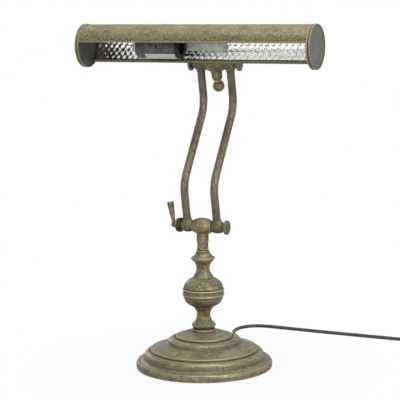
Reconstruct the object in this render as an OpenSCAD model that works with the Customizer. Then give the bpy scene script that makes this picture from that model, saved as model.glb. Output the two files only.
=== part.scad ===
// Desk lamp in aged brass: a stepped round base and a turned column carry a clamped pivot,
// two parallel swan-neck arms and a second pivot, from which a trough shade hangs on an elbow.
// +X runs along the shade, -Y is the front, +Z is up, and the origin is under the base's centre.

/* [Base] */
// Diameter across the rim
base_d = 164.6; // [156:0.2:176]
// Height of the rounded rim
rim_h = 8.6; // [8:0.1:10]
// Width of the shoulder behind the rim
shoulder_w = 9.8; // [8.5:0.1:11]
// Diameter of the middle step's edge
mid_d = 127; // [118:0.5:131]
// Height of the middle step's edge
mid_h = 23.6; // [22.6:0.1:25]
// Diameter of the top step's edge
top_d = 65; // [60:0.5:70]
// Height of the top step's edge
top_h = 39.2; // [38.4:0.1:41]
// Diameter of the seat under the column
seat_d = 33; // [31:0.5:38]
// Height of the seat under the column
seat_h = 44.6; // [43.4:0.1:47]
// Wall of the base shell
base_wall = 2.5; // [2:0.1:2.8]
// Thickness of the felt under the base
felt_t = 2; // [1.5:0.1:2.6]

/* [Column] */
// Diameter of the threaded tube that holds the column together
rod_d = 10; // [8:0.5:10.5]
// Height of the lower baluster
lower_h = 30; // [26:0.5:36]
// Height of the ball
ball_h = 36; // [34:0.5:38]
// Diameter of the ball between its beads
ball_d = 48.8; // [44:0.4:56]
// Height of the upper baluster
upper_h = 29.2; // [27:0.2:34]
// Diameter of the sharp flange on each baluster
flange_d = 28.4; // [27:0.2:33]
// Diameter of the waist of each baluster
waist_d = 17; // [15.6:0.2:19]
// Height of the collar ring
collar_h = 4.9; // [4:0.1:6.5]
// Height of the plain post under the pivot
post_h = 8.6; // [7:0.2:12]
// Diameter of the plain post under the pivot
post_d = 14; // [13:0.2:15.4]

/* [Pivots] */
// Height of a pivot's centre above the post
hub_rise = 18.3; // [17:0.1:24]
// Diameter of the egg-shaped hubs
hub_d = 20.4; // [19:0.2:24]
// Width of the egg-shaped hubs
hub_w = 25; // [22:0.5:30]
// Diameter of the arms' eyes
eye_d = 15.6; // [14.8:0.2:18]
// Width of the arms' eyes
eye_w = 13.4; // [12.6:0.2:16]
// Diameter of the pivot bolts
bolt_d = 8; // [7:0.2:8.4]
// Diameter of the bolts' threaded ends
stud_d = 5; // [4:0.2:5.4]
// Diameter of the bolts' disc heads
head_d = 17.4; // [15:0.2:20]
// Thickness of the bolts' disc heads
head_t = 3.2; // [2.4:0.2:4.4]
// Length of the collar under a disc head
head_neck = 4; // [3:0.2:6]
// Running clearance round a bolt, at the radius
run_gap = 0.05; // [0.03:0.01:0.08]
// Gap between parts that turn side by side
side_gap = 0.3; // [0.2:0.05:0.5]
// Length of the clamp lever's handle
lever_len = 24.5; // [20:0.5:32]
// Diameter of the clamp lever's handle at its thick end
lever_d = 8.2; // [7:0.2:10]
// Diameter of the clamp lever's ball
lever_ball_d = 7; // [6.8:0.2:9]

/* [Arms] */
// Outside diameter of the arm tubes
arm_d = 9.6; // [8.4:0.2:10.6]
// Wall of the arm tubes
arm_wall = 1; // [0.8:0.1:1.5]
// Length of each straight end, from the pivot to the bend's corner
arm_end = 52.5; // [42:0.5:64]
// Length of the slanting middle, from corner to corner
arm_mid = 108; // [90:1:126]
// Forward lean of the straight ends
end_lean = 11; // [6:0.5:14]
// Backward lean of the slanting middle
mid_lean = 35; // [30:0.5:38]
// Bend radius of the tubes
bend_r = 34; // [26:1:40]

/* [Shade] */
// Length over the end caps
shade_len = 300; // [280:2:340]
// Outside diameter of the shell
shell_d = 51; // [49:0.5:56]
// Wall of the shell
shell_t = 1; // [0.8:0.1:1.4]
// Angle of the front edge above level
front_rise = 13; // [6:1:24]
// Angle of the rear lip below level
rear_drop = 49; // [44:1:58]
// Height of the shade's axis above the upper pivot
elbow_rise = 23.2; // [22:0.2:28]
// Distance from the upper pivot to the shell's back
elbow_reach = 24.8; // [24:0.2:30]
// Forward lean of the elbow and the switch
hub_lean = 20; // [14:1:24]
// Outside diameter of the elbow tube
elbow_d = 10; // [9:0.2:10.8]
// Thickness of the reflector's sheet
reflector_t = 0.5; // [0.4:0.1:0.8]
// Width of the skirt of an end cap
skirt_w = 7.8; // [6.6:0.2:10]
// Length of the wiring cover
cover_len = 52; // [46:1:60]
// Height of the wiring cover
cover_h = 10.6; // [10.4:0.1:12]

/* [Lampholder] */
// Diameter of the lampholder's body
holder_d = 25.6; // [24.6:0.2:27]
// Length of the lampholder
holder_len = 56; // [50:1:66]
// Distance of its mouth from the middle of the shade
holder_mouth = 20; // [14:1:26]
// Distance of its axis below the shade's axis
holder_drop = 2.2; // [1:0.2:3]
// Inside diameter of the lamp thread
thread_d = 13.9; // [13.5:0.1:14.5]
// Depth of the lamp thread
thread_len = 20; // [17:0.5:22]
// Diameter of the front ring
ring_d = 27.2; // [26.6:0.2:28.6]

/* [Switch] */
// Diameter of the switch housing at the hub
switch_d = 13.4; // [12.4:0.2:14.4]
// Length of the switch housing
switch_len = 12; // [10:0.5:16]
// Diameter of the ball knob
knob_d = 14.4; // [12:0.2:17]

/* [Cord] */
// Diameter of the cord
cord_d = 4.6; // [4.4:0.1:5.2]
// Room between neighbouring turns of the coil
coil_gap = 0.5; // [0.45:0.05:0.9]
// Radius of the innermost turn of the coil
coil_r = 21; // [20:0.5:24]
// Thickness of the tie round the coil
tie_t = 1; // [0.8:0.1:1]
// Length of the strain relief outside the base
gland_len = 22; // [20:1:24]
// Length of the plug's body
plug_len = 36; // [32:1:40]
// Width of the plug's body
plug_w = 34; // [30:1:36]
// Height of the plug's body
plug_h = 13.6; // [12.6:0.2:14.6]

/* [Hidden] */
$fn = 96;

aged_brass = [0.55, 0.51, 0.38];
dark_brass = [0.42, 0.38, 0.28];
bright_brass = [0.78, 0.68, 0.42];
silver = [0.82, 0.82, 0.80];
zinc = [0.58, 0.60, 0.56];
black = [0.12, 0.12, 0.13];
iron = [0.24, 0.24, 0.25];

// Base
base_r = base_d / 2;
mid_r = mid_d / 2;
top_r = top_d / 2;
seat_r = seat_d / 2;
foot_gap = 0.4;
rim_bulge = 3;
shoulder_h = 5;
terrace_h = 5.7;
terrace_w = 13.4;
slip = 0.2;
rod_r = rod_d / 2;
rod_wall = 1.7;
rod_hole_r = rod_r + slip;
nut_r = 1.65 * rod_r;
nut_t = 6;
washer_t = 1.6;
recess_t = 9;
cord_r = cord_d / 2;
gland_z = 4.6;
gland_hole_r = cord_r + 0.9;
felt_r = base_r - rim_bulge - base_wall - 0.8;

// Column, each piece standing on the one below
flange_r = flange_d / 2;
waist_r = waist_d / 2;
ball_r = ball_d / 2;
post_r = post_d / 2;
ball_z = seat_h + lower_h;
upper_z = ball_z + ball_h;
collar_z = upper_z + upper_h;
post_z = collar_z + collar_h;
hub_z = post_z + post_h;
pivot_z = hub_z + hub_rise;

// Pivots
hub_r = hub_d / 2;
hub_end_r = hub_r - 3.4;
eye_r = eye_d / 2;
eye_end_r = eye_r - 1.5;
bolt_r = bolt_d / 2;
bolt_hole_r = bolt_r + run_gap;
stud_r = stud_d / 2;
head_r = head_d / 2;
head_neck_r = bolt_r + 0.6;
eye_in = hub_w / 2 + side_gap;
eye_out = eye_in + eye_w;
arm_x = (eye_in + eye_out) / 2;
head_x = eye_out + side_gap + head_neck;
washer_step = 1.4;
washer_end = eye_out + washer_step + 2.8;
nut_flange_x = washer_end + side_gap;
nut_flange_t = 2.7;
lever_x = nut_flange_x + nut_flange_t + 0.8 + lever_ball_d / 2;
lever_lean = 10;
lever_r = lever_ball_d / 2;

// Arms
arm_r = arm_d / 2;
bend = end_lean + mid_lean;
bend_run = bend_r * tan(bend / 2);
draw_in = 0.02;
lap = 0.3;
socket_s = bolt_hole_r + 1.3;
cross_y = mid_arm_y() - arm_end * sin(end_lean);
cross_z = pivot_z + 2 * arm_end * cos(end_lean) + arm_mid * cos(mid_lean);
function mid_arm_y() = arm_mid * sin(mid_lean) - arm_end * sin(end_lean);

// Shade
shell_r = shell_d / 2;
shade_y = cross_y - elbow_reach - shell_r;
shade_z = cross_z + elbow_rise;
cap_face = 0.7;
cap_step = 3.4;
skirt_r = shell_r + 0.15;
cap_r = skirt_r + 0.6;
shell_end = shade_len / 2 - cap_step;
skirt_end = shade_len / 2 - skirt_w;
rear_hem_r = 1.5;
front_hem_r = 0.9;
shell_start = 90 - rear_drop;
shell_stop = 270 - front_rise;
lining_r = shell_r - shell_t - 0.15;
lining_in = lining_r - reflector_t;
hub_socket = bolt_hole_r + 3.6;
elbow_r = elbow_d / 2;
elbow_bend = 90 - hub_lean;
elbow_bend_r = 12;
elbow_run = elbow_bend_r * tan(elbow_bend / 2);
elbow_corner = elbow_rise / cos(hub_lean);
elbow_ahead = elbow_reach - elbow_corner * sin(hub_lean);
flange_t = 4;
rosette_r = 11;
nipple_r = 2.5;
strip_t = 1.5;
strip_w = cover_h - 2;
strip_back = sqrt(pow(lining_in, 2) - pow(strip_w / 2, 2)) - 0.1;
strip_front = strip_back - strip_t;
elbow_nut_t = 2.5;
nipple_end = strip_front - elbow_nut_t - 0.6;
sheet_t = 0.8;
cover_front = nipple_end - 0.4 - sheet_t;
cover_back = sqrt(pow(lining_in, 2) - pow(cover_h / 2, 2)) - 0.1;
screw_r = 1.2;
screw_x = cover_len / 2 - 5;

// Lampholder, along X with its mouth to the right
holder_r = holder_d / 2;
holder_y = shade_y;
holder_z = shade_z - holder_drop;
holder_back = -holder_mouth - holder_len;
holder_wall = 1.5;
holder_floor = 3;
stub_r = 4.5;
stub_len = 7;
leg_r = 8.5;
ring_len = 3;
ring_lip = 2;
thread_r = thread_d / 2;
thread_wall = 0.5;
thread_back = -holder_mouth - ring_lip - thread_len;
core_r = holder_r - holder_wall - 0.1;
core_floor = 4;
contact_z = thread_back - 2.2;
label_t = 0.2;

// Switch, hanging from the upper hub along its own axis
switch_r = switch_d / 2;
switch_top = hub_socket;
switch_end = switch_top + switch_len;
switch_tip_r = switch_r - 0.6;
switch_ring_t = 1.3;
knob_r = knob_d / 2;
knob_neck_r = 4.6;
knob_top = switch_end + switch_ring_t + 0.4;
knob_c = knob_top + 0.4 + knob_r;
shaft_r = 2.5;
shaft_depth = 8;

// Cord: out of the base's back, round to the right and along the table to the coil
coil_layers = 4;
coil_pitch = cord_d + coil_gap;
lie = cord_r + 0.1;
coil_loops = 2;
coil_sides = 6;
coil_out_r = coil_r + coil_pitch * coil_loops;
coil_turns = coil_layers * coil_loops + 0.25;
coil_c = [241, 178.4];
coil_z = tie_t + 0.3 + cord_r;
coil_top_z = coil_z + coil_pitch * (coil_layers - 1);
coil_end_r = coil_out_r + coil_pitch * 0.25;
gland_end = base_r + 0.1 + gland_len;
plug_y = 118;
plug_x = coil_c[0] + coil_end_r;
cord_sides = 10;
lead_points = [
    [0, gland_end, gland_z], [0, gland_end + cord_d, gland_z], [-2, 118, 3.6], [-8, 129, 2.8],
    [-17, 141, lie], [-27, 154, lie], [-34, 166, lie], [-37, 180, lie], [-36, 194, lie],
    [-29, 206, lie], [-18, 213, lie], [-5, 215, lie], [10, 214.5, lie], [30, 213.5, lie],
    [55, 212.5, lie], [80, 211.5, lie], [105, 211, lie], [130, 210.5, lie], [155, 210, lie],
    [180, 210, lie], [205, 210, lie + 0.4], [220, 209.8, coil_z - 0.3],
    [coil_c[0] - 2 * cord_d, coil_c[1] + coil_out_r, coil_z],
    [coil_c[0] - cord_d, coil_c[1] + coil_out_r, coil_z],
];
tail_points = [
    [plug_x, coil_c[1] - cord_d, coil_top_z], [plug_x, coil_c[1] - 2 * cord_d, coil_top_z],
    [plug_x, 158, 18], [plug_x, 148, 14], [plug_x, 138, 10], [plug_x, 130, 7.6],
    [plug_x, plug_y + cord_d, plug_h / 2], [plug_x, plug_y, plug_h / 2],
];

// Points on an ellipse's arc
function arc_points(c, rx, ry, from, to, n = 8) =
    [for (i = [0:n]) let (a = from + (to - from) * i / n) [c[0] + rx * cos(a), c[1] + ry * sin(a)]];

// A point between the second and third of four neighbours on a smooth curve
function between(a, b, c, d, t) =
    0.5 * (2 * b + (c - a) * t + (2 * a - 5 * b + 4 * c - d) * pow(t, 2)
           + (3 * b - a - 3 * c + d) * pow(t, 3));

// A smooth curve through a list of points
function smooth(p, n = 4) = concat(
    [for (i = [0:len(p) - 2], k = [0:n - 1])
        between(p[max(i - 1, 0)], p[i], p[i + 1], p[min(i + 2, len(p) - 1)], k / n)],
    [p[len(p) - 1]]);

// Turned solid from an outline of radius and height, with a bore along its axis
module turned(outline, bore) {
    last = len(outline) - 1;
    rotate_extrude()
        polygon(concat([[bore, outline[0][1]]], outline, [[bore, outline[last][1]]]));
}

// What is drawn along Z lies along X instead
module along_x() {
    rotate([0, 90, 0])
        children();
}

// Barrel round Z, thickest in the middle
module barrel(r_mid, r_end, w) {
    drop = r_mid - r_end;
    arc = (pow(w / 2, 2) + pow(drop, 2)) / (2 * drop);
    half = asin(w / 2 / arc);
    rotate_extrude()
        polygon(concat([[0, -w / 2]],
                       arc_points([r_mid - arc, 0], arc, arc, -half, half, 14),
                       [[0, w / 2]]));
}

// Base
function step_edge(r, z) = [[r + 1.1, z - 1.3], [r + 0.9, z - 0.3], [r - 0.1, z + 0.1]];
function base_upper() = concat(
    [[base_r - 2.4, rim_h + 0.1], [base_r - 0.5 * shoulder_w, rim_h + 0.4 * shoulder_h],
     [base_r - 0.72 * shoulder_w, rim_h + 0.68 * shoulder_h], [base_r - shoulder_w, rim_h + shoulder_h]],
    arc_points([mid_r + 0.3, rim_h + shoulder_h + 0.4], base_r - shoulder_w - mid_r - 0.3,
               mid_h - 1.7 - rim_h - shoulder_h - 0.4, 0, 80),
    step_edge(mid_r, mid_h),
    [[top_r + terrace_w + 1, mid_h + terrace_h - 0.4], [top_r + terrace_w, mid_h + terrace_h],
     [top_r + terrace_w - 2, mid_h + terrace_h + 1.3]],
    arc_points([top_r + 3.1, mid_h + terrace_h + 1.7], terrace_w - 5.6,
               top_h - 3.7 - mid_h - terrace_h, 0, 80),
    step_edge(top_r, top_h),
    [[(top_r + seat_r) / 2, (top_h + seat_h) / 2 + 0.4], [seat_r, seat_h]]);

module base_shell() {
    rim = arc_points([base_r - rim_bulge, (rim_h + foot_gap) / 2], rim_bulge,
                     (rim_h - foot_gap) / 2, -80, 70);
    inside = [for (p = base_upper()) p - [base_wall, base_wall]];
    color(aged_brass)
        difference() {
            rotate_extrude()
                polygon(concat([[0, rim[0][1]]], rim, base_upper(), [[0, seat_h]]));
            rotate_extrude()
                polygon(concat([[0, -1], [inside[0][0], -1]], inside, [[0, seat_h - base_wall]]));
            cylinder(r = rod_hole_r, h = 2 * seat_h);
            translate([0, base_r / 2, gland_z])
                rotate([-90, 0, 0])
                    cylinder(r = gland_hole_r, h = base_r);
        }
}

module base_weight() {
    low_z = rim_h + 2;
    high_z = mid_h - base_wall - 0.6;
    top_z = seat_h - base_wall;
    high_r = top_r + terrace_w + 1.5;
    color(iron)
        difference() {
            rotate_extrude()
                polygon([[0, felt_t], [mid_r, felt_t], [mid_r, low_z], [high_r, low_z],
                         [high_r, high_z], [seat_r - 4, high_z], [seat_r - 4, top_z], [0, top_z]]);
            cylinder(r = rod_hole_r, h = 2 * seat_h);
            translate([0, 0, felt_t - 1])
                cylinder(r = seat_r - 1.5, h = recess_t + 1);
            translate([-4, 0, felt_t - 1])
                cube([8, base_r, recess_t - 1.6]);
        }
}

module felt_pad() {
    color([0.16, 0.22, 0.17])
        cylinder(r = felt_r, h = felt_t);
}

module column_rod() {
    top = pivot_z - bolt_hole_r - 1.6;
    color(zinc)
        translate([0, 0, felt_t + 0.6])
            difference() {
                cylinder(r = rod_r, h = top - felt_t - 0.6);
                translate([0, 0, -1])
                    cylinder(r = rod_r - rod_wall, h = top);
            }
}

module rod_washer() {
    color(zinc)
        translate([0, 0, felt_t + recess_t - washer_t])
            difference() {
                cylinder(r = seat_r - 2.5, h = washer_t);
                translate([0, 0, -1])
                    cylinder(r = rod_hole_r, h = 2 * washer_t + 2);
            }
}

module rod_nut() {
    color(zinc)
        translate([0, 0, felt_t + recess_t - washer_t - nut_t])
            difference() {
                cylinder(r = nut_r + 1.4, h = nut_t, $fn = 6);
                translate([0, 0, -1])
                    cylinder(r = rod_r + run_gap, h = nut_t + 2);
            }
}

// Column
module lower_baluster() {
    foot_r = seat_r - 3.3;
    foot = [[foot_r, 0], [foot_r, 1], [foot_r - 1.2, 1.8], [foot_r - 1.2, 3.4]];
    flange = [[flange_r - 2.5, 4.2], [flange_r - 0.8, 5.3], [flange_r, 7], [flange_r - 0.9, 8.8],
              [(flange_r + waist_r) / 2, 11], [waist_r + 1.4, 14], [waist_r + 0.3, 17.4]];
    waist = [[waist_r, lower_h - 9.4], [waist_r + 0.4, lower_h - 5.2], [waist_r + 1.4, lower_h - 2.6],
             [waist_r + 2.6, lower_h]];
    color(aged_brass)
        translate([0, 0, seat_h])
            turned(concat(foot, smooth(concat(flange, waist))), rod_hole_r);
}

module column_ball() {
    tall = ball_h / 2 + 2;
    cut = asin(ball_h / 2 / tall);
    bead_r = 1.1;
    bead_z = 3.1;
    side = asin((bead_z + bead_r) / tall);
    color(aged_brass)
        translate([0, 0, ball_z + ball_h / 2])
            turned(concat(
                arc_points([0, 0], ball_r, tall, -cut, -side, 10),
                arc_points([ball_r - 0.5, -bead_z], bead_r, bead_r, -80, 80, 8),
                arc_points([ball_r - 0.5, bead_z], bead_r, bead_r, -80, 80, 8),
                arc_points([0, 0], ball_r, tall, side, cut, 10)), rod_hole_r);
}

module upper_baluster() {
    waist = [[waist_r + 3.4, 0], [waist_r + 3.1, 1.8], [waist_r + 1.8, 3.6], [waist_r + 0.8, 5.8],
             [waist_r, 8.8], [waist_r - 0.2, 12], [waist_r + 0.3, upper_h - 14],
             [waist_r + 1.8, upper_h - 11.4], [(flange_r + waist_r) / 2 + 1, upper_h - 9.2],
             [flange_r - 0.3, upper_h - 7.4]];
    crown = [[flange_r, upper_h - 6.6], [flange_r - 1.2, upper_h - 4.6], [waist_r + 2.4, upper_h - 2.4],
             [waist_r + 0.8, upper_h - 1], [waist_r, upper_h]];
    color(aged_brass)
        translate([0, 0, upper_z])
            turned(concat(smooth(waist), smooth(crown)), rod_hole_r);
}

module column_collar() {
    color(aged_brass)
        translate([0, 0, collar_z])
            turned(concat([[post_r + 0.5, 0]],
                          arc_points([post_r + 0.3, collar_h / 2 - 0.3], 1.2, collar_h / 2 - 0.7, -80, 80),
                          [[post_r + 0.2, collar_h]]), rod_hole_r);
}

module pivot_post() {
    color(aged_brass)
        translate([0, 0, post_z])
            turned([[post_r, 0], [post_r, post_h - 1], [post_r - 0.6, post_h - 0.5],
                    [post_r - 0.6, post_h]], rod_hole_r);
}

// Lower pivot
module egg() {
    along_x()
        barrel(hub_r, hub_end_r, hub_w);
}

module cross_hole(r) {
    along_x()
        cylinder(r = r, h = 2 * head_x, center = true);
}

module pivot_hub() {
    color(aged_brass)
        difference() {
            union() {
                translate([0, 0, hub_z])
                    cylinder(r = post_r, h = hub_rise);
                translate([0, 0, pivot_z])
                    egg();
            }
            translate([0, 0, pivot_z])
                cross_hole(bolt_hole_r);
            translate([0, 0, hub_z - 1])
                cylinder(r = rod_hole_r, h = hub_rise - bolt_hole_r - 0.3);
        }
}

// Disc head of a bolt, from the eye outwards along Z
module disc_head() {
    edge = 0.7;
    rotate_extrude()
        polygon(concat([[0, 0], [head_neck_r, 0], [head_neck_r, head_neck]],
                       arc_points([head_r - edge, head_neck + edge], edge, edge, -90, 0, 4),
                       arc_points([head_r - edge, head_neck + head_t - 1.2], edge, edge, 0, 75, 4),
                       [[head_r - 2.4, head_neck + head_t - 0.3], [0, head_neck + head_t]]));
}

module pivot_bolt() {
    color(dark_brass)
        translate([0, 0, pivot_z])
            along_x() {
                translate([0, 0, eye_out + side_gap])
                    disc_head();
                translate([0, 0, -washer_end - 0.1])
                    cylinder(r = bolt_r, h = washer_end + 0.1 + eye_out + side_gap);
                translate([0, 0, -lever_x + 1.4])
                    cylinder(r = stud_r, h = lever_x);
            }
}

module clamp_washer() {
    color(dark_brass)
        translate([0, 0, pivot_z])
            along_x()
                difference() {
                    rotate_extrude()
                        polygon([[0, -eye_out], [eye_end_r, -eye_out],
                                 [eye_end_r, -eye_out - washer_step],
                                 [head_r - 0.4, -eye_out - washer_step],
                                 [head_r, -eye_out - washer_step - 0.4],
                                 [head_r, -washer_end + 0.4], [head_r - 0.4, -washer_end],
                                 [0, -washer_end]]);
                    cylinder(r = bolt_hole_r, h = 3 * eye_out, center = true);
                }
}

module lever_nut() {
    color(dark_brass)
        translate([0, 0, pivot_z])
            difference() {
                union() {
                    along_x()
                        rotate_extrude()
                            polygon([[0, -nut_flange_x], [head_r - 0.8, -nut_flange_x],
                                     [head_r - 0.5, -nut_flange_x - 0.4],
                                     [head_r - 0.5, -nut_flange_x - nut_flange_t + 0.6],
                                     [head_r - 1.6, -nut_flange_x - nut_flange_t],
                                     [lever_r - 0.2, -nut_flange_x - nut_flange_t - 0.3],
                                     [lever_r - 0.4, -lever_x], [0, -lever_x]]);
                    translate([-lever_x, 0, 0])
                        sphere(r = lever_r);
                }
                translate([-lever_x + 1.2, 0, 0])
                    along_x()
                        cylinder(r = stud_r + run_gap, h = lever_x);
                translate([-lever_x, 0, 0])
                    rotate([0, -lever_lean, 0])
                        translate([0, 0, stud_r + 0.6])
                            cylinder(r = 1.5, h = lever_r);
            }
}

module lever_handle() {
    low_r = 2.3;
    high_r = lever_d / 2;
    grip = smooth([[low_r, 0], [low_r + 0.1, 3], [low_r + 0.6, 0.35 * lever_len],
                   [high_r - 0.4, 0.72 * lever_len], [high_r, 0.9 * lever_len],
                   [high_r, 0.96 * lever_len]]);
    tip = [[high_r - 0.3, 0.98 * lever_len], [high_r - 1, lever_len]];
    color(dark_brass)
        translate([-lever_x, 0, pivot_z])
            rotate([0, -lever_lean, 0])
                translate([0, 0, lever_r + 0.1]) {
                    turned(concat(grip, tip), 0);
                    translate([0, 0, stud_r + 0.8 - lever_r])
                        cylinder(r = 1.45, h = lever_r - stud_r);
                }
}

// Arms
module tube_ring(r, wall) {
    difference() {
        circle(r = r);
        circle(r = r - wall);
    }
}

// Bend of a tube that starts at the origin along Z and turns towards +Y, its wall thicker by grow each side
module tube_bend(radius, angle, r, wall, grow) {
    translate([0, radius, 0])
        rotate([90, 0, -90])
            rotate_extrude(angle = angle)
                translate([radius, 0])
                    tube_ring(r + grow, wall + 2 * grow);
}

// What follows such a bend
module after_bend(radius, angle) {
    translate([0, radius * (1 - cos(angle)), radius * sin(angle)])
        rotate([-angle, 0, 0])
            children();
}

// Straight run of a tube, which laps over the bends before and after it
module tube_run(length, r, wall, before, after) {
    translate([0, 0, -before])
        linear_extrude(before + length + after)
            tube_ring(r, wall);
}

module arm_tube(x) {
    seat = socket_s + 0.1;
    color(aged_brass)
        translate([x, 0, pivot_z])
            rotate([end_lean, 0, 0]) {
                translate([0, 0, seat])
                    tube_run(arm_end - bend_run - seat, arm_r, arm_wall, 0, lap);
                translate([0, 0, arm_end - bend_run]) {
                    tube_bend(bend_r, bend, arm_r, arm_wall, -draw_in);
                    after_bend(bend_r, bend) {
                        tube_run(arm_mid - 2 * bend_run, arm_r, arm_wall, lap, lap);
                        translate([0, 0, arm_mid - 2 * bend_run])
                            mirror([0, 1, 0]) {
                                tube_bend(bend_r, bend, arm_r, arm_wall, -draw_in);
                                after_bend(bend_r, bend)
                                    tube_run(arm_end - bend_run - seat, arm_r, arm_wall, lap, 0);
                            }
                    }
                }
            }
}

module left_arm_tube() {
    arm_tube(-arm_x);
}

module right_arm_tube() {
    arm_tube(arm_x);
}

// Eye round a pivot bolt, with the socket of its tube pointing up or down
module arm_eye(x, y, z, up) {
    color(aged_brass)
        translate([x, y, z])
            difference() {
                along_x()
                    barrel(eye_r, eye_end_r, eye_w);
                cross_hole(bolt_hole_r);
                rotate([up ? end_lean : 180 + end_lean, 0, 0])
                    translate([0, 0, socket_s])
                        cylinder(r = arm_r + run_gap, h = eye_d);
            }
}

module left_lower_eye() {
    arm_eye(-arm_x, 0, pivot_z, true);
}

module right_lower_eye() {
    arm_eye(arm_x, 0, pivot_z, true);
}

module left_upper_eye() {
    arm_eye(-arm_x, cross_y, cross_z, false);
}

module right_upper_eye() {
    arm_eye(arm_x, cross_y, cross_z, false);
}

// Upper pivot
module at_cross() {
    translate([0, cross_y, cross_z])
        children();
}

module cross_bolt() {
    color(dark_brass)
        at_cross()
            along_x() {
                translate([0, 0, eye_out + side_gap])
                    disc_head();
                translate([0, 0, -eye_out - 0.1])
                    cylinder(r = bolt_r, h = 2 * eye_out + 0.1 + side_gap);
                translate([0, 0, -head_x])
                    cylinder(r = stud_r, h = head_x);
            }
}

module cross_nut() {
    color(dark_brass)
        at_cross()
            difference() {
                rotate([0, -90, 0])
                    translate([0, 0, eye_out + side_gap])
                        disc_head();
                along_x()
                    cylinder(r = stud_r + run_gap, h = 2 * (head_x + 0.2), center = true);
            }
}

module shade_hub() {
    color(aged_brass)
        at_cross()
            difference() {
                egg();
                cross_hole(bolt_hole_r);
                rotate([hub_lean, 0, 0]) {
                    translate([0, 0, hub_socket - 0.1])
                        cylinder(r = elbow_r + run_gap, h = hub_d);
                    translate([0, 0, -hub_d - switch_top + 0.1])
                        cylinder(r = switch_r + run_gap, h = hub_d);
                }
            }
}

module shade_elbow() {
    wall = 1.4;
    ahead = elbow_ahead - elbow_run - flange_t;
    tip = ahead + flange_t + shell_r - nipple_end;
    color(aged_brass)
        at_cross()
            rotate([hub_lean, 0, 0]) {
                translate([0, 0, hub_socket])
                    tube_run(elbow_corner - elbow_run - hub_socket, elbow_r, wall, 0, lap);
                translate([0, 0, elbow_corner - elbow_run])
                    mirror([0, 1, 0]) {
                        tube_bend(elbow_bend_r, elbow_bend, elbow_r, wall, 0.3);
                        after_bend(elbow_bend_r, elbow_bend)
                            rotate_extrude()
                                polygon([[elbow_r - wall, -lap], [elbow_r, -lap], [elbow_r, ahead],
                                         [nipple_r, ahead], [nipple_r, tip], [nipple_r - 0.9, tip],
                                         [nipple_r - 0.9, ahead - 1], [elbow_r - wall, ahead - 1]]);
                    }
            }
}

// Shade: its own frame has X along the shade and the origin on its axis
module at_shade() {
    translate([0, shade_y, shade_z])
        children();
}

// What is drawn along Z points back, to the elbow
module to_back() {
    rotate([-90, 0, 0])
        children();
}

module elbow_flange() {
    color(aged_brass)
        at_shade()
            difference() {
                to_back()
                    rotate_extrude()
                        polygon(concat([[nipple_r + run_gap, shell_r - 4], [rosette_r, shell_r - 4]],
                                       arc_points([rosette_r - 3, shell_r + 0.6], 3, 2, 0, 80, 6),
                                       [[elbow_r + 0.8, shell_r + flange_t],
                                        [nipple_r + run_gap, shell_r + flange_t]]));
                along_x()
                    cylinder(r = shell_r + 0.05, h = 4 * rosette_r, center = true);
            }
}

module elbow_nut() {
    color(zinc)
        at_shade()
            to_back()
                translate([0, 0, strip_front - elbow_nut_t])
                    difference() {
                        cylinder(r = strip_w / 2 - 0.2, h = elbow_nut_t - 0.05);
                        translate([0, 0, -1])
                            cylinder(r = nipple_r + run_gap, h = elbow_nut_t + 2);
                    }
}

// Part of a tube round X, from one angle to another, where 0 is down and 90 is back
module trough(r_out, wall, half, from, to) {
    along_x()
        rotate([0, 0, from])
            rotate_extrude(angle = to - from)
                translate([r_out - wall, -half])
                    square([wall, 2 * half]);
}

module hem(angle, r) {
    along_x()
        rotate([0, 0, angle])
            translate([shell_r - shell_t / 2, 0, 0])
                cylinder(r = r, h = 2 * (skirt_end - 0.2), center = true);
}

module nipple_hole() {
    to_back()
        cylinder(r = nipple_r + 0.3, h = 2 * shell_r);
}

module shade_shell() {
    color(aged_brass)
        at_shade()
            difference() {
                union() {
                    trough(shell_r, shell_t, shell_end, shell_start, shell_stop);
                    hem(shell_start, rear_hem_r);
                    hem(shell_stop, front_hem_r);
                }
                nipple_hole();
            }
}

module reflector() {
    keep_off = 5;
    color(silver)
        at_shade()
            difference() {
                trough(lining_r, reflector_t, skirt_end - 1, shell_start + keep_off, shell_stop - keep_off);
                nipple_hole();
            }
}

module end_cap() {
    bead_r = 0.7;
    half = shade_len / 2;
    along_x()
        rotate_extrude()
            polygon(concat(
                [[0, half - cap_step], [skirt_r, half - cap_step], [skirt_r, skirt_end],
                 [cap_r - 0.3, skirt_end], [cap_r, skirt_end + 0.4], [cap_r, half - cap_step - 0.6],
                 [cap_r - 0.55, half - cap_step], [cap_r - 0.6, half - cap_step + 0.8]],
                arc_points([cap_r - bead_r, half - bead_r], bead_r, bead_r, -20, 150, 10),
                [[cap_r - 2 * bead_r - 0.4, half - cap_face], [0, half - cap_face]]));
}

module right_end_cap() {
    color(aged_brass)
        at_shade()
            end_cap();
}

module left_end_cap() {
    color(aged_brass)
        at_shade()
            mirror([1, 0, 0])
                end_cap();
}

module wiring_cover() {
    color(zinc)
        at_shade()
            difference() {
                translate([-cover_len / 2, cover_front, -cover_h / 2])
                    cube([cover_len, cover_back - cover_front, cover_h]);
                translate([-cover_len / 2 + sheet_t, cover_front + sheet_t, -cover_h / 2 + sheet_t])
                    cube([cover_len - 2 * sheet_t, shell_r, cover_h - 2 * sheet_t]);
                translate([-cover_len, strip_front - 0.2, -strip_w / 2 - 0.15])
                    cube([cover_len, shell_r, strip_w + 0.3]);
                for (x = [-screw_x, screw_x])
                    translate([x, 0, 0])
                        to_back()
                            cylinder(r = screw_r + 0.1, h = shell_r);
            }
}

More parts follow.
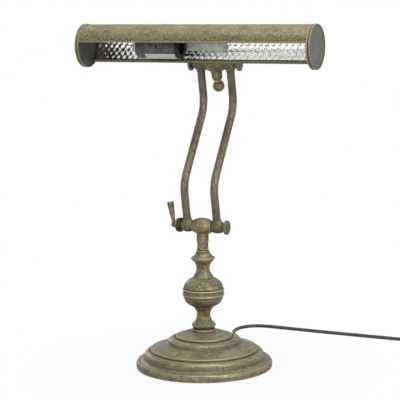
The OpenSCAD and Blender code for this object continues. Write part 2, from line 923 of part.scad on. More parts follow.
module cover_screws() {
    color(zinc)
        at_shade()
            for (x = [-screw_x, screw_x])
                translate([x, cover_front - 0.05, 0])
                    rotate([90, 0, 0])
                        difference() {
                            union() {
                                cylinder(r1 = 2 * screw_r, r2 = 1.4 * screw_r, h = 0.8);
                                translate([0, 0, cover_front - strip_front])
                                    cylinder(r = screw_r, h = strip_front - cover_front);
                            }
                            translate([-2 * screw_r, -0.25, 0.4])
                                cube([4 * screw_r, 0.5, 1]);
                        }
}

module holder_bracket() {
    leg_x = holder_back - strip_t - 0.05;
    color(zinc)
        at_shade()
            difference() {
                union() {
                    translate([leg_x, strip_front, -strip_w / 2])
                        cube([screw_x + 4 - leg_x, strip_t, strip_w]);
                    translate([leg_x, 0, -holder_drop])
                        along_x()
                            linear_extrude(strip_t)
                                union() {
                                    circle(r = leg_r);
                                    polygon([[0, -leg_r], [-holder_drop - strip_w / 2, strip_back],
                                             [-holder_drop + strip_w / 2, strip_back], [0, leg_r],
                                             [leg_r, 0]]);
                                }
                }
                translate([leg_x, 0, -holder_drop])
                    along_x()
                        cylinder(r = stub_r + 0.1, h = 4 * strip_t, center = true);
                to_back()
                    cylinder(r = nipple_r + 0.2, h = 2 * shell_r);
                for (x = [-screw_x, screw_x])
                    translate([x, 0, 0])
                        to_back()
                            cylinder(r = screw_r + 0.1, h = shell_r);
            }
}

// Lampholder
module at_holder() {
    translate([0, holder_y, holder_z])
        along_x()
            children();
}

module lampholder_body() {
    front = -holder_mouth - ring_len + 0.1;
    color(black)
        difference() {
            at_holder() {
                translate([0, 0, holder_back])
                    difference() {
                        cylinder(r = holder_r, h = front - holder_back);
                        translate([0, 0, holder_floor])
                            cylinder(r = holder_r - holder_wall, h = holder_len);
                    }
                translate([0, 0, holder_back - stub_len])
                    cylinder(r = stub_r, h = stub_len + 1);
            }
            at_holder()
                translate([0, 0, holder_back - stub_len - 1])
                    cylinder(r = stub_r - 1.4, h = stub_len + holder_floor + 2);
            translate([holder_back + 0.5 * holder_len, holder_y - holder_r, holder_z + 2])
                rotate([-90, 0, 0])
                    cylinder(r = 1.6, h = holder_r - core_r + 1, center = true);
        }
}

module lampholder_nut() {
    color(zinc)
        at_holder()
            translate([0, 0, holder_back - strip_t - 3.2])
                difference() {
                    cylinder(r = 7.4, h = 3, $fn = 6);
                    translate([0, 0, -1])
                        cylinder(r = stub_r + run_gap, h = 5);
                }
}

module lampholder_ring() {
    back = -holder_mouth - ring_len;
    color(black)
        at_holder()
            rotate_extrude()
                polygon(concat(
                    [[holder_r + 0.1, back - 1], [ring_d / 2 - 0.2, back - 1], [ring_d / 2, back - 0.6]],
                    arc_points([ring_d / 2 - 1, -holder_mouth - 1], 1, 1, 0, 90, 5),
                    [[thread_r + 1.6, -holder_mouth], [thread_r + 1, -holder_mouth - 0.6],
                     [thread_r + 1, -holder_mouth - ring_lip + 0.1],
                     [core_r, -holder_mouth - ring_lip + 0.1],
                     [core_r, back + 0.2], [holder_r + 0.1, back + 0.2]]));
}

module lampholder_core() {
    front = -holder_mouth - ring_lip;
    color(black)
        at_holder()
            difference() {
                translate([0, 0, contact_z - core_floor])
                    cylinder(r = core_r - 0.1, h = front - contact_z + core_floor);
                translate([0, 0, contact_z])
                    cylinder(r = thread_r - 1.4, h = thread_len);
                translate([0, 0, thread_back])
                    cylinder(r = thread_r + thread_wall + run_gap, h = 2 * thread_len);
            }
}

module lampholder_thread() {
    color(bright_brass)
        at_holder()
            translate([0, 0, thread_back])
                difference() {
                    cylinder(r = thread_r + thread_wall, h = thread_len);
                    translate([0, 0, -1])
                        cylinder(r = thread_r, h = thread_len + 2);
                }
}

module lampholder_contact() {
    color(bright_brass)
        at_holder()
            translate([0, 0, contact_z])
                rotate_extrude()
                    polygon([[0, 0], [3.4, 0], [3.4, 0.6], [2.2, 0.8], [1.4, 1.6], [0, 1.8]]);
}

module holder_label() {
    left = holder_back + 12.7;
    right = -holder_mouth - ring_len - 1.2;
    color([0.90, 0.91, 0.87])
        at_holder()
            translate([0, 0, left])
                rotate([0, 0, -58])
                    rotate_extrude(angle = 56)
                        translate([holder_r + 0.02, 0])
                            square([label_t, right - left]);
}

// Switch under the upper hub
module at_switch() {
    at_cross()
        rotate([hub_lean, 0, 0])
            mirror([0, 0, 1])
                children();
}

module switch_housing() {
    color(aged_brass)
        at_switch()
            difference() {
                translate([0, 0, switch_top])
                    turned([[switch_r, 0], [switch_r, hub_r - switch_top + 1.2],
                            [switch_tip_r + 0.1, switch_len - 0.8], [switch_tip_r - 0.6, switch_len]], 0);
                translate([0, 0, switch_end - shaft_depth])
                    cylinder(r = shaft_r + run_gap, h = 2 * shaft_depth);
            }
}

module switch_ring() {
    color(bright_brass)
        at_switch()
            translate([0, 0, switch_end])
                turned([[switch_tip_r - 1, 0], [switch_tip_r - 0.7, 0.3],
                        [switch_tip_r - 0.7, switch_ring_t - 0.3], [switch_tip_r - 1, switch_ring_t]],
                       shaft_r + 0.4);
}

module switch_stem() {
    color(zinc)
        at_switch()
            translate([0, 0, switch_end - shaft_depth + 0.6])
                cylinder(r = shaft_r, h = knob_c - switch_end + shaft_depth - 0.6);
}

module switch_ball() {
    reach = asin(knob_neck_r / knob_r);
    color(aged_brass)
        at_switch()
            difference() {
                translate([0, 0, knob_c])
                    rotate_extrude()
                        polygon(concat([[0, knob_top - knob_c], [knob_neck_r - 0.4, knob_top - knob_c],
                                        [knob_neck_r, knob_top - knob_c + 0.4]],
                                       arc_points([0, 0], knob_r, knob_r, reach - 90, 90, 20)));
                translate([0, 0, knob_top - 1])
                    cylinder(r = shaft_r, h = knob_c - knob_top + 1);
            }
}

// Cord
function unit(v) = v / norm(v);
function heading(p, i) = unit(p[min(i + 1, len(p) - 1)] - p[max(i - 1, 0)]);
function ring_points(p, i, r, n) =
    let (t = heading(p, i), side = unit(cross(t, [0, 0, 1])), up = cross(side, t))
    [for (k = [0:n - 1]) p[i] + r * (cos(360 * k / n + 90) * side + sin(360 * k / n + 90) * up)];

// One closed tube along a path
module cord_tube(path, r, n) {
    last = len(path) - 1;
    rings = [for (i = [0:last]) each ring_points(path, i, r, n)];
    walls = [for (i = [0:last - 1], k = [0:n - 1]) let (a = i * n + k, b = i * n + (k + 1) % n)
        each [[a, b, b + n], [a, b + n, a + n]]];
    start = [for (k = [1:n - 2]) [0, k + 1, k]];
    first = last * n;
    end = [for (k = [1:n - 2]) [first, first + k, first + k + 1]];
    polyhedron(rings, concat(walls, start, end));
}

// Distance of the coil's turns from its axis, and their height, after some turns
function coil_layer(t) = min(floor(t / coil_loops), coil_layers - 1);
function coil_radius(t) =
    let (k = coil_layer(t), w = t - k * coil_loops)
    k % 2 == 0 ? coil_out_r - coil_pitch * w : coil_r + coil_pitch * w;
function ease(s) = let (c = min(max(s, 0), 1)) c * c * (3 - 2 * c);
function total(v) = v * [for (x = v) 1];
function coil_height(t) =
    coil_z + coil_pitch * total([for (k = [1:coil_layers - 1]) ease((t - k * coil_loops) / 0.5 + 0.5)]);
function coil_point(t) =
    [coil_c[0] + coil_radius(t) * sin(360 * t), coil_c[1] + coil_radius(t) * cos(360 * t), coil_height(t)];
coil_step = 1 / 24;
coil_path = concat(
    [lead_points[len(lead_points) - 1]],
    [for (i = [0:round(coil_turns / coil_step)]) coil_point(i * coil_step)],
    [tail_points[0]]);
apart = 12;
least_gap = min([for (i = [0:len(coil_path) - 1 - apart], k = [i + apart:len(coil_path) - 1])
    norm(coil_path[i] - coil_path[k])]) - cord_d;
echo(least_gap_mm = least_gap);
function path_length(p) = total([for (i = [1:len(p) - 1]) norm(p[i] - p[i - 1])]);
function straight_ends(p, n) =
    concat([p[0]], smooth([for (i = [1:len(p) - 2]) p[i]], n), [p[len(p) - 1]]);
lead_path = straight_ends(lead_points, 2);
tail_path = straight_ends(tail_points, 2);
echo(cord_length_mm = path_length(lead_path) + path_length(coil_path) + path_length(tail_path));

module cord_gland() {
    color(black)
        translate([0, 0, gland_z])
            rotate([-90, 0, 0])
                rotate_extrude()
                    polygon([[0, felt_r + 0.5], [gland_hole_r - 0.1, felt_r + 0.5],
                             [gland_hole_r - 0.1, base_r + 0.1], [gland_z - 0.4, base_r + 0.1],
                             [gland_z - 0.4, base_r + 2.4], [gland_hole_r + 0.2, base_r + 3.4],
                             [cord_r + 0.5, gland_end], [0, gland_end]]);
}

module cord_lead() {
    color([0.24, 0.25, 0.23])
        cord_tube(lead_path, cord_r, cord_sides);
}

module cord_coil() {
    color([0.24, 0.25, 0.23])
        cord_tube(coil_path, cord_r, coil_sides);
}

module cord_tail() {
    color([0.24, 0.25, 0.23])
        cord_tube(tail_path, cord_r, cord_sides);
}

// Band round all the turns, at the back right of the coil
module coil_tie() {
    wide = 6;
    room = cord_r + 0.3;
    inner = coil_r - room;
    outer = coil_end_r + room;
    low = coil_z - room;
    high = coil_top_z + room;
    color(black)
        translate([coil_c[0], coil_c[1], 0])
            rotate([0, 0, 60])
                translate([inner - tie_t, -wide / 2, low - tie_t])
                    difference() {
                        cube([outer - inner + 2 * tie_t, wide, high - low + 2 * tie_t]);
                        translate([tie_t, -1, tie_t])
                            cube([outer - inner, wide + 2, high - low]);
                    }
}

// Flat two-pin plug lying on the table, pins to the front
module plug_body() {
    neck_r = cord_r + 1.6;
    edge = 3;
    color(black)
        translate([plug_x, plug_y, plug_h / 2])
            rotate([90, 0, 0])
                hull() {
                    cylinder(r = neck_r, h = 2, $fn = 32);
                    for (x = [-1, 1], y = [-1, 1])
                        translate([x * (plug_w / 2 - edge), y * (plug_h / 2 - edge), 0.55 * plug_len])
                            cylinder(r = edge, h = 0.45 * plug_len, $fn = 32);
                }
}

module plug_pins() {
    pin_r = 2;
    pin_len = 19;
    pin_x = 9.2;
    color(bright_brass)
        for (x = [-pin_x, pin_x])
            translate([plug_x + x, plug_y - plug_len, plug_h / 2])
                rotate([90, 0, 0])
                    rotate_extrude()
                        polygon([[0, 0], [pin_r, 0], [pin_r, pin_len - 1.5], [pin_r - 1.2, pin_len],
                                 [0, pin_len]]);
}

base_shell();
base_weight();
felt_pad();
column_rod();
rod_washer();
rod_nut();
lower_baluster();
column_ball();
upper_baluster();
column_collar();
pivot_post();
pivot_hub();
pivot_bolt();
clamp_washer();
lever_nut();
lever_handle();
left_arm_tube();
right_arm_tube();
left_lower_eye();
right_lower_eye();
left_upper_eye();
right_upper_eye();
cross_bolt();
cross_nut();
shade_hub();
shade_elbow();
elbow_flange();
elbow_nut();
shade_shell();
reflector();
left_end_cap();
right_end_cap();
wiring_cover();
cover_screws();
holder_bracket();
lampholder_body();
lampholder_nut();
lampholder_ring();
lampholder_core();
lampholder_thread();
lampholder_contact();
holder_label();
switch_housing();
switch_ring();
switch_stem();
switch_ball();
cord_gland();
cord_lead();
cord_coil();
cord_tail();
coil_tie();
plug_body();
plug_pins();
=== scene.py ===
# %% [markdown]
# # A desk lamp in aged brass
#
# This lesson dresses a CAD model of a desk lamp: a stepped round base, a turned column, two
# swan-neck arms between clamped pivots, and a trough shade with a hammered reflector inside.
# The CAD model says where everything is, in metres. Here each visible piece is modelled again
# with finer forms, gets its finish, and is told which part of the lamp it moves with.

# %% Load the CAD model
import math
import random

import bpy
import bmesh
from mathutils import Matrix, Vector
from mathutils.kdtree import KDTree


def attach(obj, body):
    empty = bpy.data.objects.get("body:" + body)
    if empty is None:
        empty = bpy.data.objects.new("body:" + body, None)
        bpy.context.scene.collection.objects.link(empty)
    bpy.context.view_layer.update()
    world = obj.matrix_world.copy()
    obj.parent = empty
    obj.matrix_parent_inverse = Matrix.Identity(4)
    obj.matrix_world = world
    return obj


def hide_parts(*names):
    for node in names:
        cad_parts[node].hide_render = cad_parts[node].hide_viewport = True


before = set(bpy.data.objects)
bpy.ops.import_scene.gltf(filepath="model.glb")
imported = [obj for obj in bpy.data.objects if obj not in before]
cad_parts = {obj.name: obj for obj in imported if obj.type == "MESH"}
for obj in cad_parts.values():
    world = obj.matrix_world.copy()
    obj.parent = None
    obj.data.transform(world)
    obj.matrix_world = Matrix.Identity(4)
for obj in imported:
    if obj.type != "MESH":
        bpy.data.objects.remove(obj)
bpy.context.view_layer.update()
MM = 0.001

# %% [markdown]
# ## The camera
#
# The camera stands 25 degrees to the right of the lamp's front and a little above it, about
# 1.8 m away, with a long lens. Its place could be found by eye, by moving it until the outline
# fits. Here it comes from angles, because angles are easy to read and to change: the right and
# up directions are worked out first, and together with the view direction they are the three
# columns of the camera's matrix.

# %% Camera
swing, lift, roll = math.radians(24.986), math.radians(8.170), math.radians(-0.760)
distance = 1.790
level = Vector((math.cos(swing), math.sin(swing), 0))
towards = Vector((math.sin(swing) * math.cos(lift), -math.cos(swing) * math.cos(lift), math.sin(lift)))
above = towards.cross(level)
across = math.cos(roll) * level + math.sin(roll) * above
upward = -math.sin(roll) * level + math.cos(roll) * above
looked_at = Vector((0, 0, 0.203171)) - 0.0026 * level
bpy.ops.object.camera_add()
camera = bpy.context.object
camera.name = "camera"
camera.data.lens = 135
camera.data.sensor_width = 36
camera.data.sensor_fit = "HORIZONTAL"
camera.data.clip_end = 20
columns = Matrix((across, upward, towards)).transposed().to_4x4()
camera.matrix_world = Matrix.Translation(looked_at + distance * towards) @ columns
bpy.context.scene.camera = camera
bpy.context.scene.view_settings.view_transform = "Standard"
print("camera at", [round(v, 3) for v in camera.matrix_world.translation])

# %% [markdown]
# ## Shader maths as Python
#
# A finish is a network of nodes. Drawn by hand it is a picture; in code it is easier to read as
# a formula. The small class below wraps one output socket, so that `1 - mask * 0.5` adds the
# Math nodes by itself. Any other kind of node comes from its `make` method.


# %% A socket that understands + - *
class Wire:
    def __init__(self, tree, socket=None):
        self.tree = tree
        self.socket = socket

    def make(self, kind, sockets=None, out=0, **settings):
        """Add a shader node with its settings and what goes into its sockets; out is the output to use."""
        node = self.tree.nodes.new("ShaderNode" + kind)
        for key, value in settings.items():
            setattr(node, key, value)
        for key, value in (sockets or {}).items():
            if isinstance(value, Wire):
                self.tree.links.new(value.socket, node.inputs[key])
            else:
                node.inputs[key].default_value = value
        return Wire(self.tree, node.outputs[out] if len(node.outputs) else None)

    def maths(self, operation, one, two=0, clamp=False):
        return self.make("Math", {0: one, 1: two}, operation=operation, use_clamp=clamp)

    def __add__(self, other):
        return self.maths("ADD", self, other)

    def __sub__(self, other):
        return self.maths("SUBTRACT", self, other)

    def __rsub__(self, other):
        return self.maths("SUBTRACT", other, self)

    def __mul__(self, other):
        return self.maths("MULTIPLY", self, other)

    __radd__, __rmul__ = __add__, __mul__

    def between(self, low, high):
        """0 below low, 1 above high, and a smooth rise from one to the other."""
        return self.make("MapRange", {"Value": self, "From Min": low, "From Max": high},
                         interpolation_type="SMOOTHSTEP")

    def tinted(self, first, second):
        """A colour that goes from first to second as this value goes from 0 to 1."""
        return self.make("Mix", {0: self, 6: first, 7: second}, out=2, data_type="RGBA")


def colour(red, green, blue):
    """A colour as seen on a screen, from 0 to 255, as the linear one that shaders use."""
    def linear(v):
        v = v / 255
        return v / 12.92 if v <= 0.04045 else ((v + 0.055) / 1.055) ** 2.4
    return (linear(red), linear(green), linear(blue), 1.0)


print("khaki brass in linear light:", [round(v, 3) for v in colour(146, 136, 102)])

# %% [markdown]
# ## Light, floor and background
#
# The lamp stands on a white table in soft light. A white background could be had by flooding
# the scene with light, but then the brass would wash out. Instead the world is plain white only
# for the rays that go straight to the camera, or that a shiny surface sends there; all other
# rays meet a much dimmer world. One long lamp overhead makes the forms read: what faces up is
# bright, and upright walls and undersides are darker. A smaller one at the upper right brightens
# the right of each round form. A weak one in front keeps the reflector and the knob from going
# black, and another behind the lamp at the left does the same for its far side. The floor does
# as the world does: pure white to the camera, but for a hint of shadow that fades out round the
# base.


# %% World and floor
def start_finish(name):
    """A new material, and the first wire on it: the place on the surface."""
    material = bpy.data.materials.new(name)
    material.use_nodes = True
    material.node_tree.nodes.clear()
    return material, Wire(material.node_tree).make("TexCoord", out="Object")


def seen_directly(board):
    """1 for rays that show the background, straight or in something shiny, and 0 for others."""
    kinds = ("Is Camera Ray", "Is Glossy Ray", "Is Transmission Ray")
    rays = [board.make("LightPath", out=kind) for kind in kinds]
    return board.maths("ADD", rays[0] + rays[1], rays[2], clamp=True)


world = bpy.data.worlds.new("studio")
bpy.context.scene.world = world
world.use_nodes = True
world.node_tree.nodes.clear()
sky = Wire(world.node_tree)
fill_light = 0.05
strength = fill_light + (1 - fill_light) * seen_directly(sky)
backdrop = sky.make("Background", {"Color": (1, 1, 1, 1), "Strength": strength})
sky.make("OutputWorld", {"Surface": backdrop})

bpy.ops.object.select_all(action="DESELECT")
bpy.ops.mesh.primitive_plane_add(size=8, location=(0, 0, -0.0003))
floor = bpy.context.object
floor.name = "floor"
paper, spot = start_finish("white_table")
table = Wire(paper.node_tree)
lit = table.make("BsdfDiffuse", {"Color": (0.5, 0.5, 0.5, 1)})
plain = table.make("Emission", {"Color": (1, 1, 1, 1), "Strength": 1.0})
away = table.make("VectorMath", {0: spot}, out="Value", operation="LENGTH")
shown = (0.93 + 0.07 * away.between(0.07, 0.25)) * seen_directly(table)
mixed = table.make("MixShader", {0: shown, 1: lit, 2: plain})
table.make("OutputMaterial", {"Surface": mixed})
floor.data.materials.append(paper)


# %% Lights
def area_light(name, place, aim, width, height, power):
    bpy.ops.object.light_add(type="AREA", location=place)
    light = bpy.context.object
    light.name = name
    light.data.shape = "RECTANGLE"
    light.data.size = width
    light.data.size_y = height
    light.data.energy = power
    light.rotation_euler = (Vector(aim) - Vector(place)).to_track_quat("-Z", "Y").to_euler()


area_light("key", (0.6, -0.4, 2.0), (0.6, 0, 0.2), 1.9, 0.6, 26)
area_light("front", (0.1, -1.9, 0.65), (0, 0, 0.2), 0.5, 0.5, 6)
area_light("side", (1.5, -0.8, 1.0), (0, 0, 0.2), 0.45, 0.45, 12)
area_light("back", (-1.6, 1.2, 0.6), (0, 0, 0.2), 0.6, 0.6, 6)

# %% [markdown]
# ## Drawing tools
#
# Nearly every piece of this lamp was turned on a lathe, so the main tool is a lathe too: an
# outline is drawn by extruding one vertex from point to point, and `spin` turns it round. The
# outlines are in millimetres, as a turner would note them. Arcs and smooth curves are worked
# out as lists of points, and long straight stretches are cut up, so that a finish can follow
# the edges closely.


# %% Outlines
def arc(centre, rx, ry, start, stop, steps=10):
    angles = [math.radians(start + (stop - start) * i / steps) for i in range(steps + 1)]
    return [(centre[0] + rx * math.cos(a), centre[1] + ry * math.sin(a)) for a in angles]


def from_point(r, z, *steps):
    """Points that are given as steps away from one point."""
    return [(r + dr, z + dz) for dr, dz in steps]


def smooth(points, steps=6):
    """A smooth curve through the points, each given as a tuple."""
    line = []
    for i in range(len(points) - 1):
        a, b = points[max(i - 1, 0)], points[i]
        c, d = points[i + 1], points[min(i + 2, len(points) - 1)]
        for k in range(steps):
            t = k / steps
            line.append(tuple(
                q + 0.5 * t * (r - p + t * (2 * p - 5 * q + 4 * r - s + t * (3 * q - p - 3 * r + s)))
                for p, q, r, s in zip(a, b, c, d)))
    return line + [points[-1]]


def cut_up(points, longest):
    """The same line with no stretch longer than that."""
    line = [points[0]]
    for a, b in zip(points, points[1:]):
        parts = max(1, math.ceil(math.dist(a, b) / longest))
        line += [tuple(p + (q - p) * k / parts for p, q in zip(a, b)) for k in range(1, parts + 1)]
    return line


print("points on a quarter circle:", len(arc((0, 0), 1, 1, 0, 90)))


# %% The lathe
def deselect():
    if bpy.context.mode != "OBJECT":
        bpy.ops.object.mode_set(mode="OBJECT")
    bpy.ops.object.select_all(action="DESELECT")


def pick(piece):
    deselect()
    piece.select_set(True)
    bpy.context.view_layer.objects.active = piece


def draw(points):
    """Draw a line in edit mode, by extruding a vertex from point to point, in metres."""
    deselect()
    bpy.ops.mesh.primitive_plane_add(size=0.01)
    bpy.ops.object.mode_set(mode="EDIT")
    bpy.ops.mesh.select_mode(type="VERT")
    bpy.ops.mesh.merge(type="CENTER")
    bpy.ops.transform.translate(value=points[0])
    for a, b in zip(points, points[1:]):
        bpy.ops.mesh.extrude_vertices_move(TRANSFORM_OT_translate={"value": Vector(b) - Vector(a)})
    return bpy.context.object


def close_up():
    """Close seams and poles, turn every face outwards, and leave edit mode."""
    bpy.ops.mesh.select_all(action="SELECT")
    bpy.ops.mesh.remove_doubles(threshold=2e-6)
    bpy.ops.mesh.normals_make_consistent(inside=False)
    bpy.ops.object.mode_set(mode="OBJECT")


def lathe(outline, place=Matrix(), steps=96, longest=1.5):
    """Turn an outline of (radius, height) in millimetres round Z, then put it in its place."""
    on_axis = outline[0][0] == 0 and outline[-1][0] == 0
    line = cut_up(outline if on_axis else outline + [outline[0]], longest)
    piece = draw([(r * MM, 0, h * MM) for r, h in line])
    bpy.ops.mesh.select_all(action="SELECT")
    bpy.ops.mesh.spin(steps=steps, angle=math.tau, center=(0, 0, 0), axis=(0, 0, 1))
    close_up()
    piece.matrix_world = place
    return piece


def at(x, y, z):
    return Matrix.Translation((x * MM, y * MM, z * MM))


def turned(degrees, axis):
    return Matrix.Rotation(math.radians(degrees), 4, axis)


along_x = turned(90, "Y")
print("the lathe's axis lies along", [round(v) for v in along_x @ Vector((0, 0, 1))])


# %% Bars, cuts and copies
def bar(points, radius):
    """A round curve along a line of points, in millimetres."""
    deselect()
    line = bpy.data.curves.new("bar", "CURVE")
    line.dimensions = "3D"
    line.bevel_depth = radius * MM
    line.bevel_resolution = 6
    line.use_fill_caps = True
    spline = line.splines.new("POLY")
    spline.points.add(len(points) - 1)
    for point, (x, y, z) in zip(spline.points, points):
        point.co = (x * MM, y * MM, z * MM, 1)
    piece = bpy.data.objects.new("bar", line)
    bpy.context.collection.objects.link(piece)
    pick(piece)
    return piece


def to_mesh(piece):
    pick(piece)
    bpy.ops.object.convert(target="MESH")
    bpy.ops.object.mode_set(mode="EDIT")
    close_up()
    return bpy.context.object


def apply_place(piece):
    pick(piece)
    bpy.ops.object.transform_apply(location=True, rotation=True, scale=True)


def apply_modifier(piece, kind, **settings):
    pick(piece)
    step = piece.modifiers.new(kind.lower(), kind)
    for key, value in settings.items():
        setattr(step, key, value)
    bpy.ops.object.modifier_apply(modifier=step.name)


def combine(piece, other, operation):
    """Join two solids into one, or cut one with the other."""
    apply_place(piece)
    apply_place(other)
    apply_modifier(piece, "BOOLEAN", operation=operation, solver="EXACT", object=other)
    bpy.data.objects.remove(other)
    return piece


def copy_of(piece, place):
    """A copy with its own mesh, in another place."""
    other = piece.copy()
    other.data = piece.data.copy()
    bpy.context.collection.objects.link(other)
    other.matrix_world = place
    return other


def join(pieces):
    for piece in pieces:
        apply_place(piece)
    deselect()
    for piece in pieces:
        piece.select_set(True)
    bpy.context.view_layer.objects.active = pieces[0]
    bpy.ops.object.join()
    return pieces[0]


print("tools ready")

# %% [markdown]
# ## Wear and painted shade, and the last steps for every piece
#
# Brass that was darkened at the works is rubbed bright again where hands and cloths reach it:
# on the outer edges. The inner corners and hollows are darkened: partly dark patina left there,
# partly painted shade. Painting that by hand would take a day, so each piece measures itself
# instead. How sharply the surface bends from one face to the next, per millimetre, is stored at
# each vertex, and so is how far the surface round a vertex rises above it, on the average. The
# finishes read both: edges that bend out get lighter, and corners and hollows get darker.


# %% Mark the edges and hollows
bend_from, bend_full = 0.25, 0.95


def store(piece, name, values):
    """Keep a value for each vertex, for a finish to read."""
    layer = piece.data.attributes.new(name, "FLOAT", "POINT")
    layer.data.foreach_set("value", values)


def mark_wear_and_shade(piece):
    """Store how sharply the surface bends: up to 1 on outer edges, which are rubbed lighter, down to -1 in
    corners, which get painted shade.
    """
    shape = bmesh.new()
    shape.from_mesh(piece.data)
    values = [0.0] * len(shape.verts)
    for edge in shape.edges:
        if len(edge.link_faces) != 2 or edge.calc_length() == 0:
            continue
        width = sum(face.calc_area() for face in edge.link_faces) / 2 / edge.calc_length() / MM
        bend = edge.calc_face_angle_signed(0.0) / max(width, 0.3)
        worn = math.copysign(min(1.0, max(0.0, (abs(bend) - bend_from) / (bend_full - bend_from))), bend)
        for vertex in edge.verts:
            if abs(worn) > abs(values[vertex.index]):
                values[vertex.index] = worn
    shape.free()
    store(piece, "wear_and_shade", values)


def mark_hollows(piece, reach):
    """Store how much of the surface within reach, in millimetres, stands above each vertex."""
    vertices = piece.data.vertices
    tree = KDTree(len(vertices))
    for vertex in vertices:
        tree.insert(vertex.co, vertex.index)
    tree.balance()
    values = []
    for vertex in vertices:
        rises = [0.0]
        for place, index, gap in tree.find_range(vertex.co, reach * MM):
            if gap > 0 and vertex.normal.dot(vertices[index].normal) > 0:
                rises.append(vertex.normal.dot(place - vertex.co) / gap)
        values.append(sum(rises) / len(rises))
    store(piece, "hollow", values)


# %% Settle a piece on its body
def settle(piece, name, body, nodes, finish, angle=32, reach=3, aged=True):
    """Give a piece its name, its finish, and the body that it moves with, in place of CAD nodes."""
    apply_place(piece)
    bpy.ops.object.shade_smooth_by_angle(angle=math.radians(angle))
    piece.name = name
    piece.data.name = name
    piece.data.materials.clear()
    piece.data.materials.append(finish)
    if aged:
        mark_wear_and_shade(piece)
    if finish.name.startswith("brass"):
        mark_hollows(piece, reach)
    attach(piece, body)
    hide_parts(*nodes)
    print(f"{name}: {len(piece.data.polygons)} faces")


# %% [markdown]
# ## The brass finishes
#
# The lamp is brass in an antique finish: dipped to darken it, then rubbed by hand. Up close it
# shows cloudy patches of khaki, golden stains, a fine dark grain left in the surface, and brighter
# edges. The inner corners and hollows are darker: partly dark patina, partly painted shade. On
# turned pieces these marks are drawn out round the axis, as a lathe leaves them. The shade is
# darker and browner towards its lower edges: painted shade, with some brown tarnish. A
# photograph of brass could be wrapped round the pieces, but it would need an unwrapped map for
# each one. Noise in object coordinates needs none and runs on across the whole lamp. One function
# makes the brass; each piece group chooses its own tones.


# %% Parts of a finish
def end_finish(material, **sockets):
    """Give a material its shader and output; base_color stands for the socket Base Color, and so on."""
    names = {key.replace("_", " ").title().replace("Ior", "IOR"): value for key, value in sockets.items()}
    board = Wire(material.node_tree)
    shader = board.make("BsdfPrincipled", names)
    board.make("OutputMaterial", {"Surface": shader})
    return material


def noise(place, per_metre, detail, rough=0.6):
    sockets = {"Vector": place, "Scale": per_metre, "Detail": detail, "Roughness": rough}
    return place.make("TexNoise", sockets, out="Fac")


def bump(height, depth, amount):
    return height.make("Bump", {"Height": height, "Distance": depth, "Strength": amount})


def attribute(place, name):
    return place.make("Attribute", out="Fac", attribute_name=name)


def split(place):
    return [place.make("SeparateXYZ", {"Vector": place}, out=axis) for axis in "XYZ"]


def scaled(place, factors):
    return place.make("Mapping", {"Vector": place, "Scale": factors})


def round_axis(place, pace):
    """Coordinates that run slowly round Z, so that a noise is drawn out into turning marks."""
    x, y, z = split(place)
    radius = place.maths("SQRT", x * x + y * y)
    angle = place.maths("ARCTAN2", x, 0 - y)
    return place.make("CombineXYZ", {"X": radius, "Y": pace * angle, "Z": z})


print("finishes so far:", [m.name for m in bpy.data.materials])


# %% Antique brass
def aged_brass(name, dark, main, warm, worn, stretch=(1, 1, 1), pace=None, painted_shade_and_tarnish=None):
    """Antique brass; pace draws its marks out round Z, and the last argument makes it darker and browner
    from one height down to another: painted shade, with some brown tarnish.
    """
    material, place = start_finish(name)
    drawn = scaled(place, stretch) if pace is None else round_axis(place, pace)
    clouds = noise(drawn, 95, 4)
    stains = noise(drawn, 200, 5, 0.7)
    grain = noise(drawn, 800, 3, 0.7)
    specks = noise(place, 1100, 2, 0.7)
    wear_and_shade = attribute(place, "wear_and_shade")
    hollow = attribute(place, "hollow")
    # a very dark tone, used for the dark grain and for painted shade in hollows and corners
    grain_and_shade_dark = tuple(0.35 * v for v in dark[:3]) + (1.0,)
    tone = clouds.between(0.36, 0.64).tinted(dark, main)
    tone = (0.95 * stains.between(0.48, 0.62)).tinted(tone, warm)
    # painted shade with some brown tarnish: below a height the tone turns darker and browner
    if painted_shade_and_tarnish is not None:
        low, high, shade_tarnish_brown = painted_shade_and_tarnish
        below = 1 - split(place)[2].between(low, high)
        tone = (below * (0.55 + 0.7 * stains)).tinted(tone, shade_tarnish_brown)
    tone = (0.8 * grain.between(0.46, 0.64)).tinted(tone, grain_and_shade_dark)
    tone = (0.85 * specks.between(0.5, 0.62)).tinted(tone, worn)
    # hollows turn darker: partly dark patina, partly painted shade
    tone = (hollow.between(0.0, 0.2) * (0.2 + 0.9 * stains)).tinted(tone, grain_and_shade_dark)
    rubbed = wear_and_shade.between(0.0, 0.9) * (0.2 + 1.0 * grain)
    tone = rubbed.tinted(tone, worn)
    # inner corners, where the surface bends in, turn darker: partly dark patina, partly painted shade
    tone = (0.85 * (0 - wear_and_shade).between(0.05, 0.8)).tinted(tone, grain_and_shade_dark)
    gloss = 0.4 + 0.25 * (grain - 0.5) + 0.2 * (0.5 - clouds) - 0.06 * rubbed
    relief = bump(grain + 2 * stains, 0.0001, 0.5)
    return end_finish(material, base_color=tone, metallic=0.3, roughness=gloss, normal=relief,
                      specular_ior_level=0.3, specular_tint=(0.15, 0.13, 0.1, 1))


worn_edge = colour(186, 178, 142)
# the shade's brass turns darker towards its lower edges: painted shade, with some brown tarnish
brass_shade = aged_brass("brass_shade", colour(130, 119, 95), colour(168, 159, 130), colour(198, 180, 124),
                         colour(184, 175, 144), stretch=(0.45, 1, 1),
                         painted_shade_and_tarnish=(0.387, 0.4155, colour(64, 57, 43)))
brass_base = aged_brass("brass_base", colour(110, 101, 89), colour(145, 137, 115), colour(164, 151, 112),
                        worn_edge, pace=0.025)
brass_column = aged_brass("brass_column", colour(88, 80, 66), colour(135, 126, 103), colour(170, 152, 104),
                          worn_edge, pace=0.006)
brass_golden = aged_brass("brass_golden", colour(98, 85, 64), colour(142, 127, 94), colour(178, 157, 107),
                          colour(196, 183, 144))
